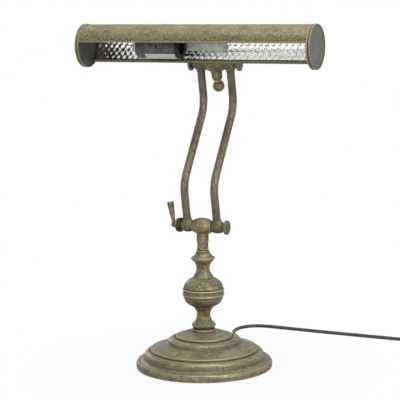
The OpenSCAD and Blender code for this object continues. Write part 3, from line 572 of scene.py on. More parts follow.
# painted light: a lighter copy of the golden brass for the knob, which hangs in the shade's shadow
brass_knob_painted_light = aged_brass("brass_knob_painted_light", colour(118, 103, 78), colour(172, 154, 116), colour(206, 184, 130),
                        colour(214, 202, 164))
brass_arms = aged_brass("brass_arms", colour(98, 93, 80), colour(130, 124, 105), colour(156, 143, 104),
                        colour(158, 150, 122), stretch=(1, 1, 0.5))
brass_dark = aged_brass("brass_dark", colour(84, 79, 68), colour(120, 114, 96), colour(132, 121, 94),
                        colour(160, 152, 124))
brass_black = aged_brass("brass_black", colour(38, 35, 31), colour(62, 57, 49), colour(84, 72, 56),
                         colour(116, 106, 84))
print("brass finishes:", [m.name for m in bpy.data.materials if m.name.startswith("brass")])

# %% [markdown]
# ## The cord
#
# The mains cord leaves the back of the base through a rubber strain relief, swings round to the
# right and lies along the table. The rest of its 1.8 m is wound into a tied coil out of the
# picture. A cord could be simulated as it falls, but this one lies where the CAD model put it,
# so its route is the same list of points, smoothed, and the coil is a spiral in four layers. It
# stays a curve, which keeps its length exact.

# %% The cord's route
cord_width = 0.0046
lead_route = [
    (0, 0.1044, 0.0046), (0, 0.109, 0.0046), (-0.002, 0.118, 0.0036), (-0.008, 0.129, 0.0028),
    (-0.017, 0.141, 0.0024), (-0.027, 0.154, 0.0024), (-0.034, 0.166, 0.0024), (-0.037, 0.18, 0.0024),
    (-0.036, 0.194, 0.0024), (-0.029, 0.206, 0.0024), (-0.018, 0.213, 0.0024), (-0.005, 0.215, 0.0024),
    (0.01, 0.2145, 0.0024), (0.03, 0.2135, 0.0024), (0.055, 0.2125, 0.0024), (0.08, 0.2115, 0.0024),
    (0.105, 0.211, 0.0024), (0.13, 0.2105, 0.0024), (0.155, 0.21, 0.0024), (0.18, 0.21, 0.0024),
    (0.205, 0.21, 0.0028), (0.22, 0.2098, 0.0033), (0.2318, 0.2096, 0.0036), (0.2364, 0.2096, 0.0036),
]
coil_centre = (0.241, 0.1784)
coil_inner, coil_pitch, coil_low = 0.021, 0.0051, 0.0036
layers, loops = 4, 2
coil_outer = coil_inner + loops * coil_pitch
coil_top = coil_low + (layers - 1) * coil_pitch
plug_x = coil_centre[0] + coil_outer + 0.25 * coil_pitch
tail_route = [
    (plug_x, 0.1738, coil_top), (plug_x, 0.1692, coil_top), (plug_x, 0.158, 0.018), (plug_x, 0.148, 0.014),
    (plug_x, 0.138, 0.01), (plug_x, 0.13, 0.0076), (plug_x, 0.1226, 0.0068), (plug_x, 0.118, 0.0068),
]


def ease(t):
    t = min(max(t, 0), 1)
    return t * t * (3 - 2 * t)


def coil_point(t):
    """Where the cord is after t turns: it spirals in and out, and climbs where it turns back."""
    layer = min(int(t / loops), layers - 1)
    part = t - layer * loops
    radius = coil_outer - coil_pitch * part if layer % 2 == 0 else coil_inner + coil_pitch * part
    height = coil_low + coil_pitch * sum(ease((t - k * loops) / 0.5 + 0.5) for k in range(1, layers))
    angle = math.tau * t
    return (coil_centre[0] + radius * math.sin(angle), coil_centre[1] + radius * math.cos(angle), height)


def straight_ends(points):
    return [points[0]] + smooth(points[1:-1], 4) + [points[-1]]


steps_a_turn = 36
coil_route = [coil_point(i / steps_a_turn) for i in range(int((layers * loops + 0.25) * steps_a_turn) + 1)]
cord_route = straight_ends(lead_route) + coil_route + straight_ends(tail_route)


# %% The cord and its sheath
def cord_sheath():
    """Dark grey PVC, a little dusty, with a faint drawn texture."""
    material, place = start_finish("cord_sheath")
    dust = noise(place, 120, 4)
    skin = noise(place, 2200, 2)
    tone = dust.between(0.35, 0.7).tinted(colour(52, 53, 50), colour(78, 79, 74))
    gloss = 0.42 + 0.25 * dust
    return end_finish(material, base_color=tone, roughness=gloss, normal=bump(skin, 0.00008, 0.4))


mains_cord = bar([(x / MM, y / MM, z / MM) for x, y, z in cord_route], cord_width / 2 / MM)
mains_cord.name = "mains_cord"
mains_cord.data.name = "mains_cord"
mains_cord.data.materials.append(cord_sheath())
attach(mains_cord, "base")
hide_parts("cord_lead", "cord_coil", "cord_tail")
print("cord from", cord_route[0], "to", [round(v, 4) for v in cord_route[-1]])

# %% [markdown]
# ## Plastic and rubber
#
# The lampholder is black moulded plastic, and the plug, the tie and the strain relief are softer
# black plastic. Moulded plastic is never quite even: it has a fine spark-eroded texture, a little
# dust, and paler edges where the gloss breaks.


# %% Black plastic
def black_plastic(name, dark, pale, rough, texture):
    material, place = start_finish(name)
    dust = noise(place, 140, 4)
    pores = noise(place, 2600, 2)
    wear_and_shade = attribute(place, "wear_and_shade")
    tone = (0.6 * dust.between(0.42, 0.7)).tinted(dark, pale)
    tone = (0.5 * wear_and_shade.between(0.1, 0.9)).tinted(tone, pale)
    return end_finish(material, base_color=tone, roughness=rough + 0.2 * (dust - 0.5),
                      specular_ior_level=0.25, normal=bump(pores, 0.0001, texture))


holder_plastic = black_plastic("holder_plastic", colour(98, 97, 100), colour(146, 144, 146), 0.4, 0.35)
ring_plastic = black_plastic("ring_plastic", colour(20, 19, 22), colour(44, 42, 46), 0.4, 0.3)
soft_plastic = black_plastic("soft_plastic", colour(30, 30, 31), colour(62, 62, 62), 0.55, 0.5)
print("plastics:", holder_plastic.name, ring_plastic.name, soft_plastic.name)

# %% [markdown]
# ## What is on the cord: strain relief, tie and plug
#
# The strain relief is a tapered rubber sleeve with ribs that let it bend without a kink; it is
# turned. The tie is a flat strap round all the turns: a block without its two ends, with bevelled
# corners and a wall. The plug is a flat two-pin one: a block whose back is drawn out and narrowed
# towards the cord by extruding and scaling.

# %% Strain relief
base_r = 82.3
gland_z = 4.6
cord_r = cord_width / 2 / MM
gland_start, gland_end = 76.5, base_r + 22.1
gland_line = [(0, gland_start), (cord_r + 0.8, gland_start), (cord_r + 0.8, base_r + 0.1)]
gland_line += from_point(0, base_r, (4.0, 0.1), (4.2, 0.4), (4.2, 2.2), (3.6, 3.0))
ribs = 6
rib_step = (gland_end - base_r - 4.5) / ribs
for i in range(ribs):
    start = base_r + 3.4 + i * rib_step
    rib_r = 3.6 - 0.13 * i
    gland_line += [(rib_r - 0.55, start), (rib_r - 0.55, start + 0.3 * rib_step),
                   (rib_r, start + 0.42 * rib_step), (rib_r, start + 0.9 * rib_step)]
gland_line += [(cord_r + 0.5, gland_end - 0.4), (cord_r + 0.3, gland_end), (0, gland_end)]
ribbed_gland = lathe(gland_line, at(0, 0, gland_z) @ turned(-90, "X"), steps=48, longest=2)
settle(ribbed_gland, "ribbed_gland", "base", ["cord_gland"], soft_plastic)


# %% Blocks, and the tie
def block(size, centre):
    """A box at its size and place, in millimetres, left in edit mode."""
    deselect()
    bpy.ops.mesh.primitive_cube_add(size=1)
    piece = bpy.context.object
    piece.scale = [v * MM for v in size]
    piece.location = [v * MM for v in centre]
    apply_place(piece)
    bpy.ops.object.mode_set(mode="EDIT")
    bpy.ops.mesh.select_all(action="DESELECT")
    return piece


def choose(piece, kind, test):
    """Select the faces or edges whose middle and direction pass a test; nothing else."""
    bpy.ops.mesh.select_all(action="DESELECT")
    bpy.ops.mesh.select_mode(type=kind)
    shape = bmesh.from_edit_mesh(piece.data)
    parts = shape.faces if kind == "FACE" else shape.edges
    for part in parts:
        middle = sum((v.co for v in part.verts), Vector()) / len(part.verts) / MM
        if kind == "FACE":
            way = part.normal
        else:
            way = (part.verts[1].co - part.verts[0].co).normalized()
        part.select_set(bool(test(middle, way)))
    bmesh.update_edit_mesh(piece.data)


tie_room = cord_r + 0.3
tie_in = coil_inner / MM - tie_room
tie_out = (plug_x - coil_centre[0]) / MM + tie_room
tie_low, tie_high = coil_low / MM - tie_room, coil_top / MM + tie_room
tie_middle = ((tie_in + tie_out) / 2, 0, (tie_low + tie_high) / 2)
cord_tie = block((tie_out - tie_in + 2, 6, tie_high - tie_low + 2), tie_middle)
choose(cord_tie, "FACE", lambda middle, way: abs(way.y) > 0.9)
bpy.ops.mesh.delete(type="FACE")
choose(cord_tie, "EDGE", lambda middle, way: abs(way.y) > 0.9)
bpy.ops.mesh.bevel(offset=2.4 * MM, segments=6)
close_up()
apply_modifier(cord_tie, "SOLIDIFY", thickness=0.9 * MM, offset=-1)
apply_modifier(cord_tie, "BEVEL", width=0.25 * MM, segments=2, limit_method="ANGLE")
cord_tie.matrix_world = at(coil_centre[0] / MM, coil_centre[1] / MM, 0) @ turned(60, "Z")
settle(cord_tie, "cord_tie", "base", ["coil_tie"], soft_plastic)

# %% Plug
plug_y, plug_len, plug_w, plug_h, pin_x = 118, 36, 34, 13.6, 9.2
front_len = 0.45 * plug_len
plug = block((plug_w, front_len, plug_h), (plug_x / MM, plug_y - plug_len + front_len / 2, plug_h / 2))
choose(plug, "FACE", lambda middle, way: way.y > 0.9)
for length, wide, high in ((8, 0.82, 0.96), (7, 0.62, 0.86), (4.8, 0.62, 0.82)):
    bpy.ops.mesh.extrude_region_move(TRANSFORM_OT_translate={"value": (0, length * MM, 0)})
    bpy.ops.transform.resize(value=(wide, 1, high))
bpy.ops.mesh.select_mode(type="EDGE")
bpy.ops.mesh.select_all(action="SELECT")
bpy.ops.mesh.bevel(offset=2.2 * MM, segments=4)
choose(plug, "FACE", lambda middle, way: way.y < -0.9)
bpy.ops.mesh.inset(thickness=0.8 * MM, depth=-0.3 * MM)
close_up()
settle(plug, "plug_moulding", "base", ["plug_body"], soft_plastic)


# %% The pins, and all that is on the cord
def bright_metal(name, dark, pale, rough, metal=0.85):
    """Plated or polished metal with fine scratches."""
    material, place = start_finish(name)
    clouds = noise(place, 130, 4)
    fine = noise(scaled(place, (1, 6, 1)), 900, 3)
    tone = clouds.between(0.35, 0.65).tinted(dark, pale)
    return end_finish(material, base_color=tone, metallic=metal, roughness=rough + 0.2 * (fine - 0.5),
                      normal=bump(fine, 0.00004, 0.4))


polished_brass = bright_metal("polished_brass", colour(176, 148, 92), colour(214, 190, 126), 0.28)
pin_line = [(0, -2), (2, -2), (2, 16.4), (1.9, 17.2)] + arc((0.9, 17.6), 0.95, 1.4, 10, 90, 6) + [(0, 19)]
pin = lathe(pin_line, steps=32)
prongs = [copy_of(pin, at(plug_x / MM + side * pin_x, plug_y - plug_len, plug_h / 2) @ turned(90, "X"))
          for side in (-1, 1)]
bpy.data.objects.remove(pin)
settle(join(prongs), "plug_prongs", "base", ["plug_pins"], polished_brass)

# %% [markdown]
# ## The base
#
# The base is one turned casting: a rounded rim, a hollow shoulder, and two swelling steps with a
# crisp edge each, up to the seat of the column. Rings could be stacked and joined, but the lathe
# gives all of it from one outline, the inside too.


# %% Stepped base
def step_edge(r, z):
    """The small rounded edge at the top of a step, with a groove below and a finer one behind."""
    return (from_point(r, z, (1.3, -2.7), (0.85, -2.5), (0.7, -2.0))
            + arc((r + 0.1, z - 1.0), 1.0, 1.0, -60, 88, 9) + from_point(r, z, (-0.5, -0.14), (-1.1, 0.1)))


rim_h, mid_r, mid_h, top_r, top_h, seat_r, seat_h = 8.6, 63.5, 23.6, 32.5, 39.2, 16.5, 44.6
shoulder_r, shoulder_z = base_r - 9.8, rim_h + 5
terrace_r, terrace_z = top_r + 13.4, mid_h + 5.7
rim_line = (from_point(base_r, 0, (-0.9, 0.15), (-0.35, 0.7), (-0.05, 2.4))
            + arc((base_r - 3, 4.5), 3, 4.1, 0, 48, 8)
            + from_point(base_r, rim_h, (-1.5, -0.25), (-1.9, 0.05), (-2.5, -0.1)))
hollow = smooth(from_point(base_r, rim_h, (-3.2, -0.2), (-5.4, 0.6), (-7.9, 2.0))
                + from_point(shoulder_r, shoulder_z, (0.3, -1.4), (-0.3, 0.9)), 4)
swell = arc((mid_r + 0.8, shoulder_z + 1.6), shoulder_r - mid_r - 1.1, mid_h - 4.2 - shoulder_z, 0, 76, 12)
terrace = smooth([(mid_r - 1.6, mid_h + 0.25), ((mid_r + terrace_r) / 2, (mid_h + terrace_z) / 2 + 0.1),
                  (terrace_r + 1, terrace_z - 0.3)], 5)
groove = smooth(from_point(terrace_r, terrace_z, (0, 0.1), (-1.6, 1.0), (-2.5, 2.4)), 4)
upper_swell = arc((top_r + 2.9, terrace_z + 3.2), 7.9, top_h - 5.9 - terrace_z, 0, 76, 10)
cone = smooth([(top_r - 1.6, top_h + 0.25), ((top_r + seat_r) / 2 + 1, (top_h + seat_h) / 2 - 0.2),
               (seat_r, seat_h - 0.8), (seat_r - 2.5, seat_h - 0.3)], 5)
lower_part = hollow + swell + step_edge(mid_r, mid_h) + terrace + groove
outside = lower_part + upper_swell + step_edge(top_r, top_h) + cone
inside = [(5.2, seat_h - 0.3), (5.2, seat_h - 2.8)] + [(r - 2.6, z - 2.6) for r, z in outside[::-3]]
stepped_base = lathe(rim_line + outside + inside + [(base_r - 5.6, 0.5)], steps=144)
settle(stepped_base, "stepped_base", "base", ["base_shell"], brass_base, reach=5)

# %% [markdown]
# ## The column
#
# Five turned pieces are threaded over a hidden tube: a spindle with a sharp flange, a ball with
# two beads, a second spindle upside down, a collar and a plain post. Each is a separate piece on
# the lathe, because the thin dark joints between them are what makes a turned column look real.

# %% Outlines of the column
hole_r = 5.2
post_r = 7
ball_z, upper_z, collar_z, post_z, hub_z, pivot_z = 74.0, 109.4, 139.8, 144.7, 153.3, 171.6
ball_h, collar_h, post_h = 35.4, 4.9, 8.6

lower_line = smooth(
    [(14.3, -0.5), (14.8, 0.5), (14.7, 1.6), (13.6, 2.3), (12.2, 2.8)], 4) + smooth(
    [(11.9, 3.5), (12.7, 4.3), (13.8, 5.0), (14.3, 6.0), (14.3, 7.2), (13.8, 8.6), (12.5, 9.9),
     (11.1, 11.2), (10.0, 12.6), (8.8, 15.0), (8.2, 17.4), (8.1, 20.4), (8.5, 22.6), (9.2, 24.6),
     (10.3, 26.4), (11.4, 27.8), (12.1, 29.0), (12.1, ball_z - seat_h - 0.2)], 3)
bead_r, bead_z = 1.1, 3.3
half_line = smooth([(23.9, 4.9), (23.5, 7.0), (22.5, 9.8), (20.9, 12.2), (18.3, 14.6), (15.9, 16.0),
                    (13.3, 17.2), (12.4, ball_h / 2 - 0.1)], 3)
bead_line = [(24.5, 0.5), (24.58, 1.4), (24.75, 2.1)] + arc((24.2, bead_z), bead_r, bead_r, -45, 105, 9)
ball_line = [(r, -h) for r, h in (bead_line + half_line)[::-1]] + bead_line + half_line
upper_line = smooth(
    [(12.2, 0.2), (12.0, 1.5), (10.9, 3.3), (9.9, 4.6), (9.1, 5.9), (8.5, 7.4), (8.1, 9.4), (8.0, 11.6),
     (8.2, 13.6), (8.7, 15.4), (9.4, 17.0), (10.3, 18.4), (11.4, 19.7), (12.8, 20.9), (14.0, 22.1)], 3)
upper_line += smooth(
    [(14.3, 22.9), (14.3, 23.9), (13.7, 24.9), (12.2, 25.8), (10.9, 26.8), (10.0, 27.9), (9.3, 29.0),
     (8.7, collar_z - upper_z - 0.1)], 3)
collar_line = ([(7.9, 0), (7.1, 0.2), (6.9, 0.6)] + arc((7.2, 1.5), 1.05, 0.8, -75, 80, 8)
               + [(6.6, 2.5), (6.5, 2.9), (6.9, 3.2), (7.05, 3.5), (7.05, collar_h)])
post_line = smooth([(post_r, 0), (post_r - 0.3, 1.4), (post_r - 0.4, post_h / 2),
                    (post_r - 0.1, post_h - 1.8), (post_r + 0.2, post_h - 0.9)])
post_line += [(post_r - 0.3, post_h - 0.3), (post_r - 0.6, post_h)]

# %% Turn the column
for name, node, line, z, steps, longest, finish in (
        ("lower_spindle", "lower_baluster", lower_line, seat_h, 96, 1.5, brass_column),
        ("beaded_ball", "column_ball", ball_line, ball_z + ball_h / 2, 128, 1.5, brass_column),
        ("upper_spindle", "upper_baluster", upper_line, upper_z, 96, 1.5, brass_column),
        ("collar_bead", "column_collar", collar_line, collar_z, 72, 0.8, brass_column),
        ("short_post", "pivot_post", post_line, post_z, 72, 0.8, brass_golden)):
    drilled = line + [(hole_r, line[-1][1]), (hole_r, line[0][1])]
    settle(lathe(drilled, at(0, 0, z), steps, longest), name, "base", [node], finish)

# %% [markdown]
# ## The pivots
#
# Both pivots are alike: an egg-shaped hub between the barrel eyes of the two arms, all on one
# bolt with a disc head. The egg and its neck are two turned solids, joined by a Boolean and then
# drilled for the bolt, as a founder's pattern would be. The eyes are made once for each pivot
# and copied to the other arm.

# %% Egg hubs
hub_w, hub_r, hub_end_r = 25, 10.2, 6.8
eye_w, eye_r, eye_end_r = 13.4, 7.8, 6.3
bolt_r, bolt_hole_r, stud_r = 4, 4.05, 2.5
side_gap = 0.3
eye_in = hub_w / 2 + side_gap
eye_out = eye_in + eye_w
arm_x = (eye_in + eye_out) / 2
cross_y, cross_z = 41.911, 363.139
hub_lean, hub_socket, tube_depth = 20, 7.65, 13.9
elbow_hole_r, switch_hole_r = 5.05, 6.75


def barrel(r_mid, r_end, width):
    """The outline of a barrel that swells in the middle, with softened ends."""
    drop = r_mid - r_end
    radius = ((width / 2) ** 2 + drop ** 2) / (2 * drop)
    half = math.degrees(math.asin(width / 2 / radius))
    belly = arc((r_mid - radius, 0), radius, radius, -half * 0.965, half * 0.965, 24)
    return [(0, -width / 2), (r_end - 0.5, -width / 2)] + belly + [(r_end - 0.5, width / 2), (0, width / 2)]


def rod(radius, half, place, steps, longest=20):
    """A plain cylinder, as long to one side of its place as to the other."""
    return lathe([(0, -half), (radius, -half), (radius, half), (0, half)], place, steps, longest)


def drill(piece, radius, place, length):
    """Cut a round hole along the lathe's axis at a place."""
    return combine(piece, rod(radius, length / 2, place, 48), "DIFFERENCE")


lower_place = at(0, 0, pivot_z)
upper_place = at(0, cross_y, cross_z)
lower_axis, upper_axis = lower_place @ along_x, upper_place @ along_x
hub_place = upper_place @ turned(hub_lean, "X")
lower_egg = lathe(barrel(hub_r, hub_end_r, hub_w), lower_axis, steps=112)
neck_line = [(0, 0), (post_r, 0), (post_r + 0.3, 0.4), (post_r + 0.2, 8.6), (post_r + 0.6, 10), (0, 10)]
neck = lathe(neck_line, at(0, 0, hub_z), steps=72)
lower_egg = combine(lower_egg, neck, "UNION")
lower_egg = drill(lower_egg, bolt_hole_r, lower_axis, 40)
lower_egg = drill(lower_egg, hole_r, at(0, 0, hub_z), 2 * tube_depth)
settle(lower_egg, "lower_egg", "base", ["pivot_hub"], brass_golden)

upper_egg = lathe(barrel(hub_r, hub_end_r, hub_w), upper_axis, steps=112)
upper_egg = drill(upper_egg, bolt_hole_r, upper_axis, 40)
upper_egg = drill(upper_egg, elbow_hole_r, hub_place @ at(0, 0, hub_socket + 9.9), 20)
upper_egg = drill(upper_egg, switch_hole_r, hub_place @ at(0, 0, -hub_socket - 9.9), 20)
settle(upper_egg, "upper_egg", "shade", ["shade_hub"], brass_golden)

# %% Eyes of the arms
arm_r, end_lean, arm_socket = 4.8, 11, 5.35
socket_line = [(0, 4), (6.3, 4)]
socket_line += smooth([(6.3, 6.2), (5.6, 7.6), (5.2, 9), (5.0, 10.4), (4.9, 11)], 5) + [(0, 11)]
arm_sides = (("left", -arm_x), ("right", arm_x))
for level_name, place, way in (("lower", lower_place, end_lean), ("upper", upper_place, 180 + end_lean)):
    eye = lathe(barrel(eye_r, eye_end_r, eye_w), place @ along_x, steps=80)
    eye = combine(eye, lathe(socket_line, place @ turned(way, "X"), steps=64), "UNION")
    eye = drill(eye, bolt_hole_r, place @ along_x, 30)
    eye = drill(eye, arm_r + 0.05, place @ turned(way, "X") @ at(0, 0, arm_socket + 10), 20)
    for side_name, x in arm_sides:
        name = f"{side_name}_{level_name}"
        ring = copy_of(eye, at(x, 0, 0))
        settle(ring, f"{name}_barrel", "arms", [f"{name}_eye"], brass_arms)
    bpy.data.objects.remove(eye)

# %% [markdown]
# ## Swan-neck arms
#
# Each arm is a tube with two bends, straight at both ends and slanting back between them. A tube
# could be swept by hand with many extrusions; a curve with a round bevel is the same thing with
# less work, and is then made a mesh. The bends are arcs, as a tube bender makes them.


# %% Bent tubes
def bent_route(start, lean, runs):
    """Points of a bar bent in the YZ plane; a run is a length, or a turn in degrees and its radius."""
    x, y, z = start
    heading = math.radians(lean)
    points = [start]
    for run in runs:
        turn, radius = run if isinstance(run, tuple) else (0, 0)
        parts = max(1, round(abs(turn) / 1.5))
        piece_turn = math.radians(turn) / parts
        for _ in range(parts):
            length = 2 * radius * math.sin(abs(piece_turn) / 2) if turn else run
            y -= length * math.sin(heading + piece_turn / 2)
            z += length * math.cos(heading + piece_turn / 2)
            heading += piece_turn
            points.append((x, y, z))
    return points


bend_r, mid_lean, arm_end, arm_mid = 34, 35, 52.5, 108
bend = end_lean + mid_lean
bend_run = bend_r * math.tan(math.radians(bend / 2))
seat = bolt_hole_r + 1.4
end_run = arm_end - bend_run - seat
lean = math.radians(end_lean)
seat_y, seat_z = -seat * math.sin(lean), pivot_z + seat * math.cos(lean)
for side_name, x in arm_sides:
    route = bent_route((x, seat_y, seat_z), end_lean,
                       [end_run, (-bend, bend_r), arm_mid - 2 * bend_run, (bend, bend_r), end_run])
    swan_neck = to_mesh(bar(cut_up(route, 4), arm_r))
    settle(swan_neck, f"{side_name}_swan_neck", "arms", [f"{side_name}_arm_tube"], brass_arms)

# %% [markdown]
# ## Bolts, washer and clamp lever
#
# A bolt's head is a plain disc with a softened rim and a slight dome. On the left of the lower
# pivot a knurled washer and a flanged nut with a small ball sit on the bolt's end; the club-shaped
# lever is screwed into the ball and clamps the arms. The knurl is cut into every second strip of
# the washer's rim by an inset with depth.

# %% Bolts and the disc nut
lever_x, stud_start, head_r, head_t, head_neck = 37.7, -30.5, 8.7, 3.2, 4
neck_x = eye_out + side_gap
head_x = neck_x + head_neck
head_end = head_x + head_t
head_line = ([(bolt_r + 0.6, neck_x), (bolt_r + 0.6, head_x - 0.4), (bolt_r + 1.0, head_x)]
             + arc((head_r - 0.7, head_x + 0.7), 0.7, 0.7, -90, 0, 6)
             + arc((head_r - 0.7, head_end - 1.2), 0.7, 0.7, 0, 75, 6)
             + [(head_r - 2.4, head_end - 0.3), (3.0, head_end - 0.1), (0, head_end)])


def bolt(tip, step, place):
    """A bolt along X with a thinner stud from its tip to a step, and a disc head at the right."""
    shank = [(0, tip), (stud_r, tip), (stud_r, step), (bolt_r, step), (bolt_r, neck_x)]
    return lathe(shank + head_line, place, steps=72)


lower_pin = bolt(-lever_x + 1.4, stud_start, lower_axis)
settle(lower_pin, "lower_pin", "base", ["pivot_bolt"], brass_dark)
upper_pin = bolt(-head_x, -eye_out - 0.1, upper_axis)
settle(upper_pin, "upper_pin", "arms", ["cross_bolt"], brass_dark)
to_left = turned(-90, "Y")
nut_line = [(stud_r + 0.05, neck_x)] + head_line[:-2] + [(stud_r + 0.05, head_end - 0.4)]
disc_nut = lathe(nut_line, upper_place @ to_left, steps=72)
settle(disc_nut, "upper_disc_nut", "arms", ["cross_nut"], brass_dark)


# %% Knurled washer
def knurl(piece, steps, low, high, radius, depth):
    """Sink every second strip of a rim between two heights; the piece still lies along Z."""
    pick(piece)
    bpy.ops.object.mode_set(mode="EDIT")

    def strip(middle, way):
        turn = math.atan2(middle.y, middle.x) / math.tau * steps
        on_rim = low < middle.z < high and math.hypot(middle.x, middle.y) > radius
        return on_rim and math.floor(turn) % 2 == 0

    choose(piece, "FACE", strip)
    bpy.ops.mesh.inset(thickness=0.12 * MM, depth=-depth * MM)
    close_up()


washer_end = eye_out + 5.1
washer_line = [(bolt_hole_r, eye_out), (eye_end_r, eye_out), (eye_end_r, eye_out + 1.4),
               (head_r - 0.4, eye_out + 1.4), (head_r, eye_out + 1.8), (head_r, washer_end - 0.4),
               (head_r - 0.4, washer_end), (bolt_hole_r, washer_end)]
washer = lathe(washer_line, steps=56, longest=2.2)
knurl(washer, 56, eye_out + 1.8, washer_end - 0.4, head_r - 0.3, 0.7)
washer.matrix_world = lower_place @ to_left
settle(washer, "knurled_washer", "arms", ["clamp_washer"], brass_black)

# %% Clamp lever
flange_x, flange_t, lever_r = washer_end + side_gap, 1.8, 3.5
flange_end, stud_end = flange_x + flange_t, lever_x - 1.2
boss_line = ([(0, stud_end), (stud_r + 0.05, stud_end), (stud_r + 0.05, flange_x)]
             + from_point(head_r, flange_x, (-0.8, 0), (-0.5, 0.3))
             + from_point(head_r, flange_end, (-0.5, -0.8), (-1.0, -0.3), (-2.2, 0))
             + from_point(lever_r, flange_end, (0.6, 0.2), (-0.5, 0.7))
             + arc((0, lever_x), lever_r, lever_r, -58, 88, 16) + [(0, lever_x + lever_r)])
boss = lathe(boss_line, lower_place @ to_left, steps=64, longest=0.9)
settle(boss, "lever_boss", "lever", ["lever_nut"], brass_dark)

lever_len, low_r, high_r = 24.5, 2.3, 4.1
grip_line = smooth([(low_r, 0), (low_r + 0.1, 3), (low_r + 0.6, 0.35 * lever_len),
                    (high_r - 0.4, 0.72 * lever_len), (high_r, 0.9 * lever_len),
                    (high_r, 0.955 * lever_len)])
tip_line = arc((high_r - 0.9, 0.965 * lever_len), 0.9, 0.035 * lever_len, 5, 90, 8)
grip = lathe([(0, -0.1), (low_r - 0.2, -0.1)] + grip_line + tip_line + [(0, lever_len + 0.05)],
             at(-lever_x, 0, pivot_z) @ turned(-10, "Y") @ at(0, 0, lever_r), steps=48, longest=1)
settle(grip, "lever_grip", "lever", ["lever_handle"], brass_golden)

# %% [markdown]
# ## The switch
#
# A turn switch hangs under the upper hub: a short housing, a bright ring and a ball knob. All
# three are turned along the switch's own leaning axis.

# %% Switch housing, ring and knob
switch_place = hub_place @ turned(180, "X")
switch_r, switch_top, switch_end, shaft_r, knob_r = 6.7, 7.65, 19.65, 2.5, 7.2
housing_line = ([(0, switch_top), (switch_r, switch_top)]
                + from_point(switch_r, 0, (0, 11.4), (-0.25, 11.7), (-0.25, 12.1), (0, 12.5))
                + from_point(switch_r, switch_end, (-0.45, -1.2), (-0.7, -0.5), (-1.2, 0))
                + from_point(shaft_r, switch_end, (0.05, 0), (0.05, -8)) + [(0, switch_end - 8)])
housing = lathe(housing_line, switch_place, steps=64, longest=0.9)
settle(housing, "switch_barrel", "shade", ["switch_housing"], brass_golden)
ring_line = ([(shaft_r + 0.4, switch_end), (switch_r - 1.7, switch_end)]
             + arc((switch_r - 1.75, switch_end + 0.65), 0.5, 0.6, -80, 80, 8)
             + [(switch_r - 1.7, switch_end + 1.3), (shaft_r + 0.4, switch_end + 1.3)])
bezel = lathe(ring_line, switch_place, steps=64, longest=0.8)
settle(bezel, "switch_bezel", "shade", ["switch_ring"], polished_brass)
knob_top, knob_foot_r = switch_end + 1.7, 4.6
knob_centre = knob_top + 0.4 + knob_r
reach = math.degrees(math.asin(knob_foot_r / knob_r))
knob_line = [(0, knob_centre), (shaft_r, knob_centre), (shaft_r, knob_top), (4.2, knob_top),
             (knob_foot_r, knob_top + 0.4)]
knob_line += arc((0, knob_centre), knob_r, knob_r, reach - 88, 89, 28) + [(0, knob_centre + knob_r)]
knob = lathe(knob_line, switch_place, steps=72, longest=0.9)
settle(knob, "ball_knob", "knob", ["switch_ball"], brass_knob_painted_light)

# %% [markdown]
# ## The shade's shell
#
# The shade is a trough of rolled sheet brass, open at the front below, with its two long edges
# rolled into beads. Its cross-section is a thin C. It could be a cut-open cylinder with a
# Solidify modifier; drawing the C once and extruding it along the shade gives both walls and
# the thickness at once. The beads are round bars joined on by a Boolean.

# %% Rolled shell with hems
shade_y, shade_z = -8.389, 386.339
shade_half, shell_r, shell_t = 150, 25.5, 1
cap_step, skirt_w = 3.4, 5.0
shell_end, skirt_end = shade_half - cap_step, shade_half - skirt_w
rear_edge, front_edge = 41, 257
shade_place = at(0, shade_y, shade_z)


def on_shade(angle, radius):
    """A point round the shade's axis, as (y, z): 0 is down and 90 is back."""
    a = math.radians(angle)
    return radius * math.sin(a), -radius * math.cos(a)


def trough(r_out, r_in, start, stop, half, step=1.5):
    """A closed trough along X round the origin, from one angle to another."""
    count = round((stop - start) / step)
    angles = [start + (stop - start) * i / count for i in range(count + 1)]
    ring = [on_shade(a, r_out) for a in angles] + [on_shade(a, r_in) for a in reversed(angles)]
    piece = draw([(-half * MM, y * MM, z * MM) for y, z in ring + ring[:1]])
    bpy.ops.mesh.select_all(action="SELECT")
    bpy.ops.mesh.remove_doubles(threshold=2e-6)
    bpy.ops.mesh.edge_face_add()
    bpy.ops.mesh.extrude_region_move(TRANSFORM_OT_translate={"value": (2 * half * MM, 0, 0)})
    close_up()
    return piece


shell = trough(shell_r, shell_r - shell_t, rear_edge, front_edge, shell_end)
for angle, hem_r in ((rear_edge, 1.9), (front_edge, 0.9)):
    y, z = on_shade(angle, shell_r - shell_t / 2)
    shell = combine(shell, rod(hem_r, skirt_end - 0.2, at(0, y, z) @ along_x, 32), "UNION")
shell.matrix_world = shade_place
settle(shell, "shade_trough", "shade", ["shade_shell"], brass_shade)

# %% [markdown]
# ## End caps
#
# A turned cap closes each end. It has a skirt over the shell, a groove, and a plain flat face in
# a fine rim. The face has turned grey, as flat brass does that is never rubbed. The inside is
# painted darker, as painted shade inside the trough, so the caps get a brass of their own: where
# on the cap a point is decides its tone.


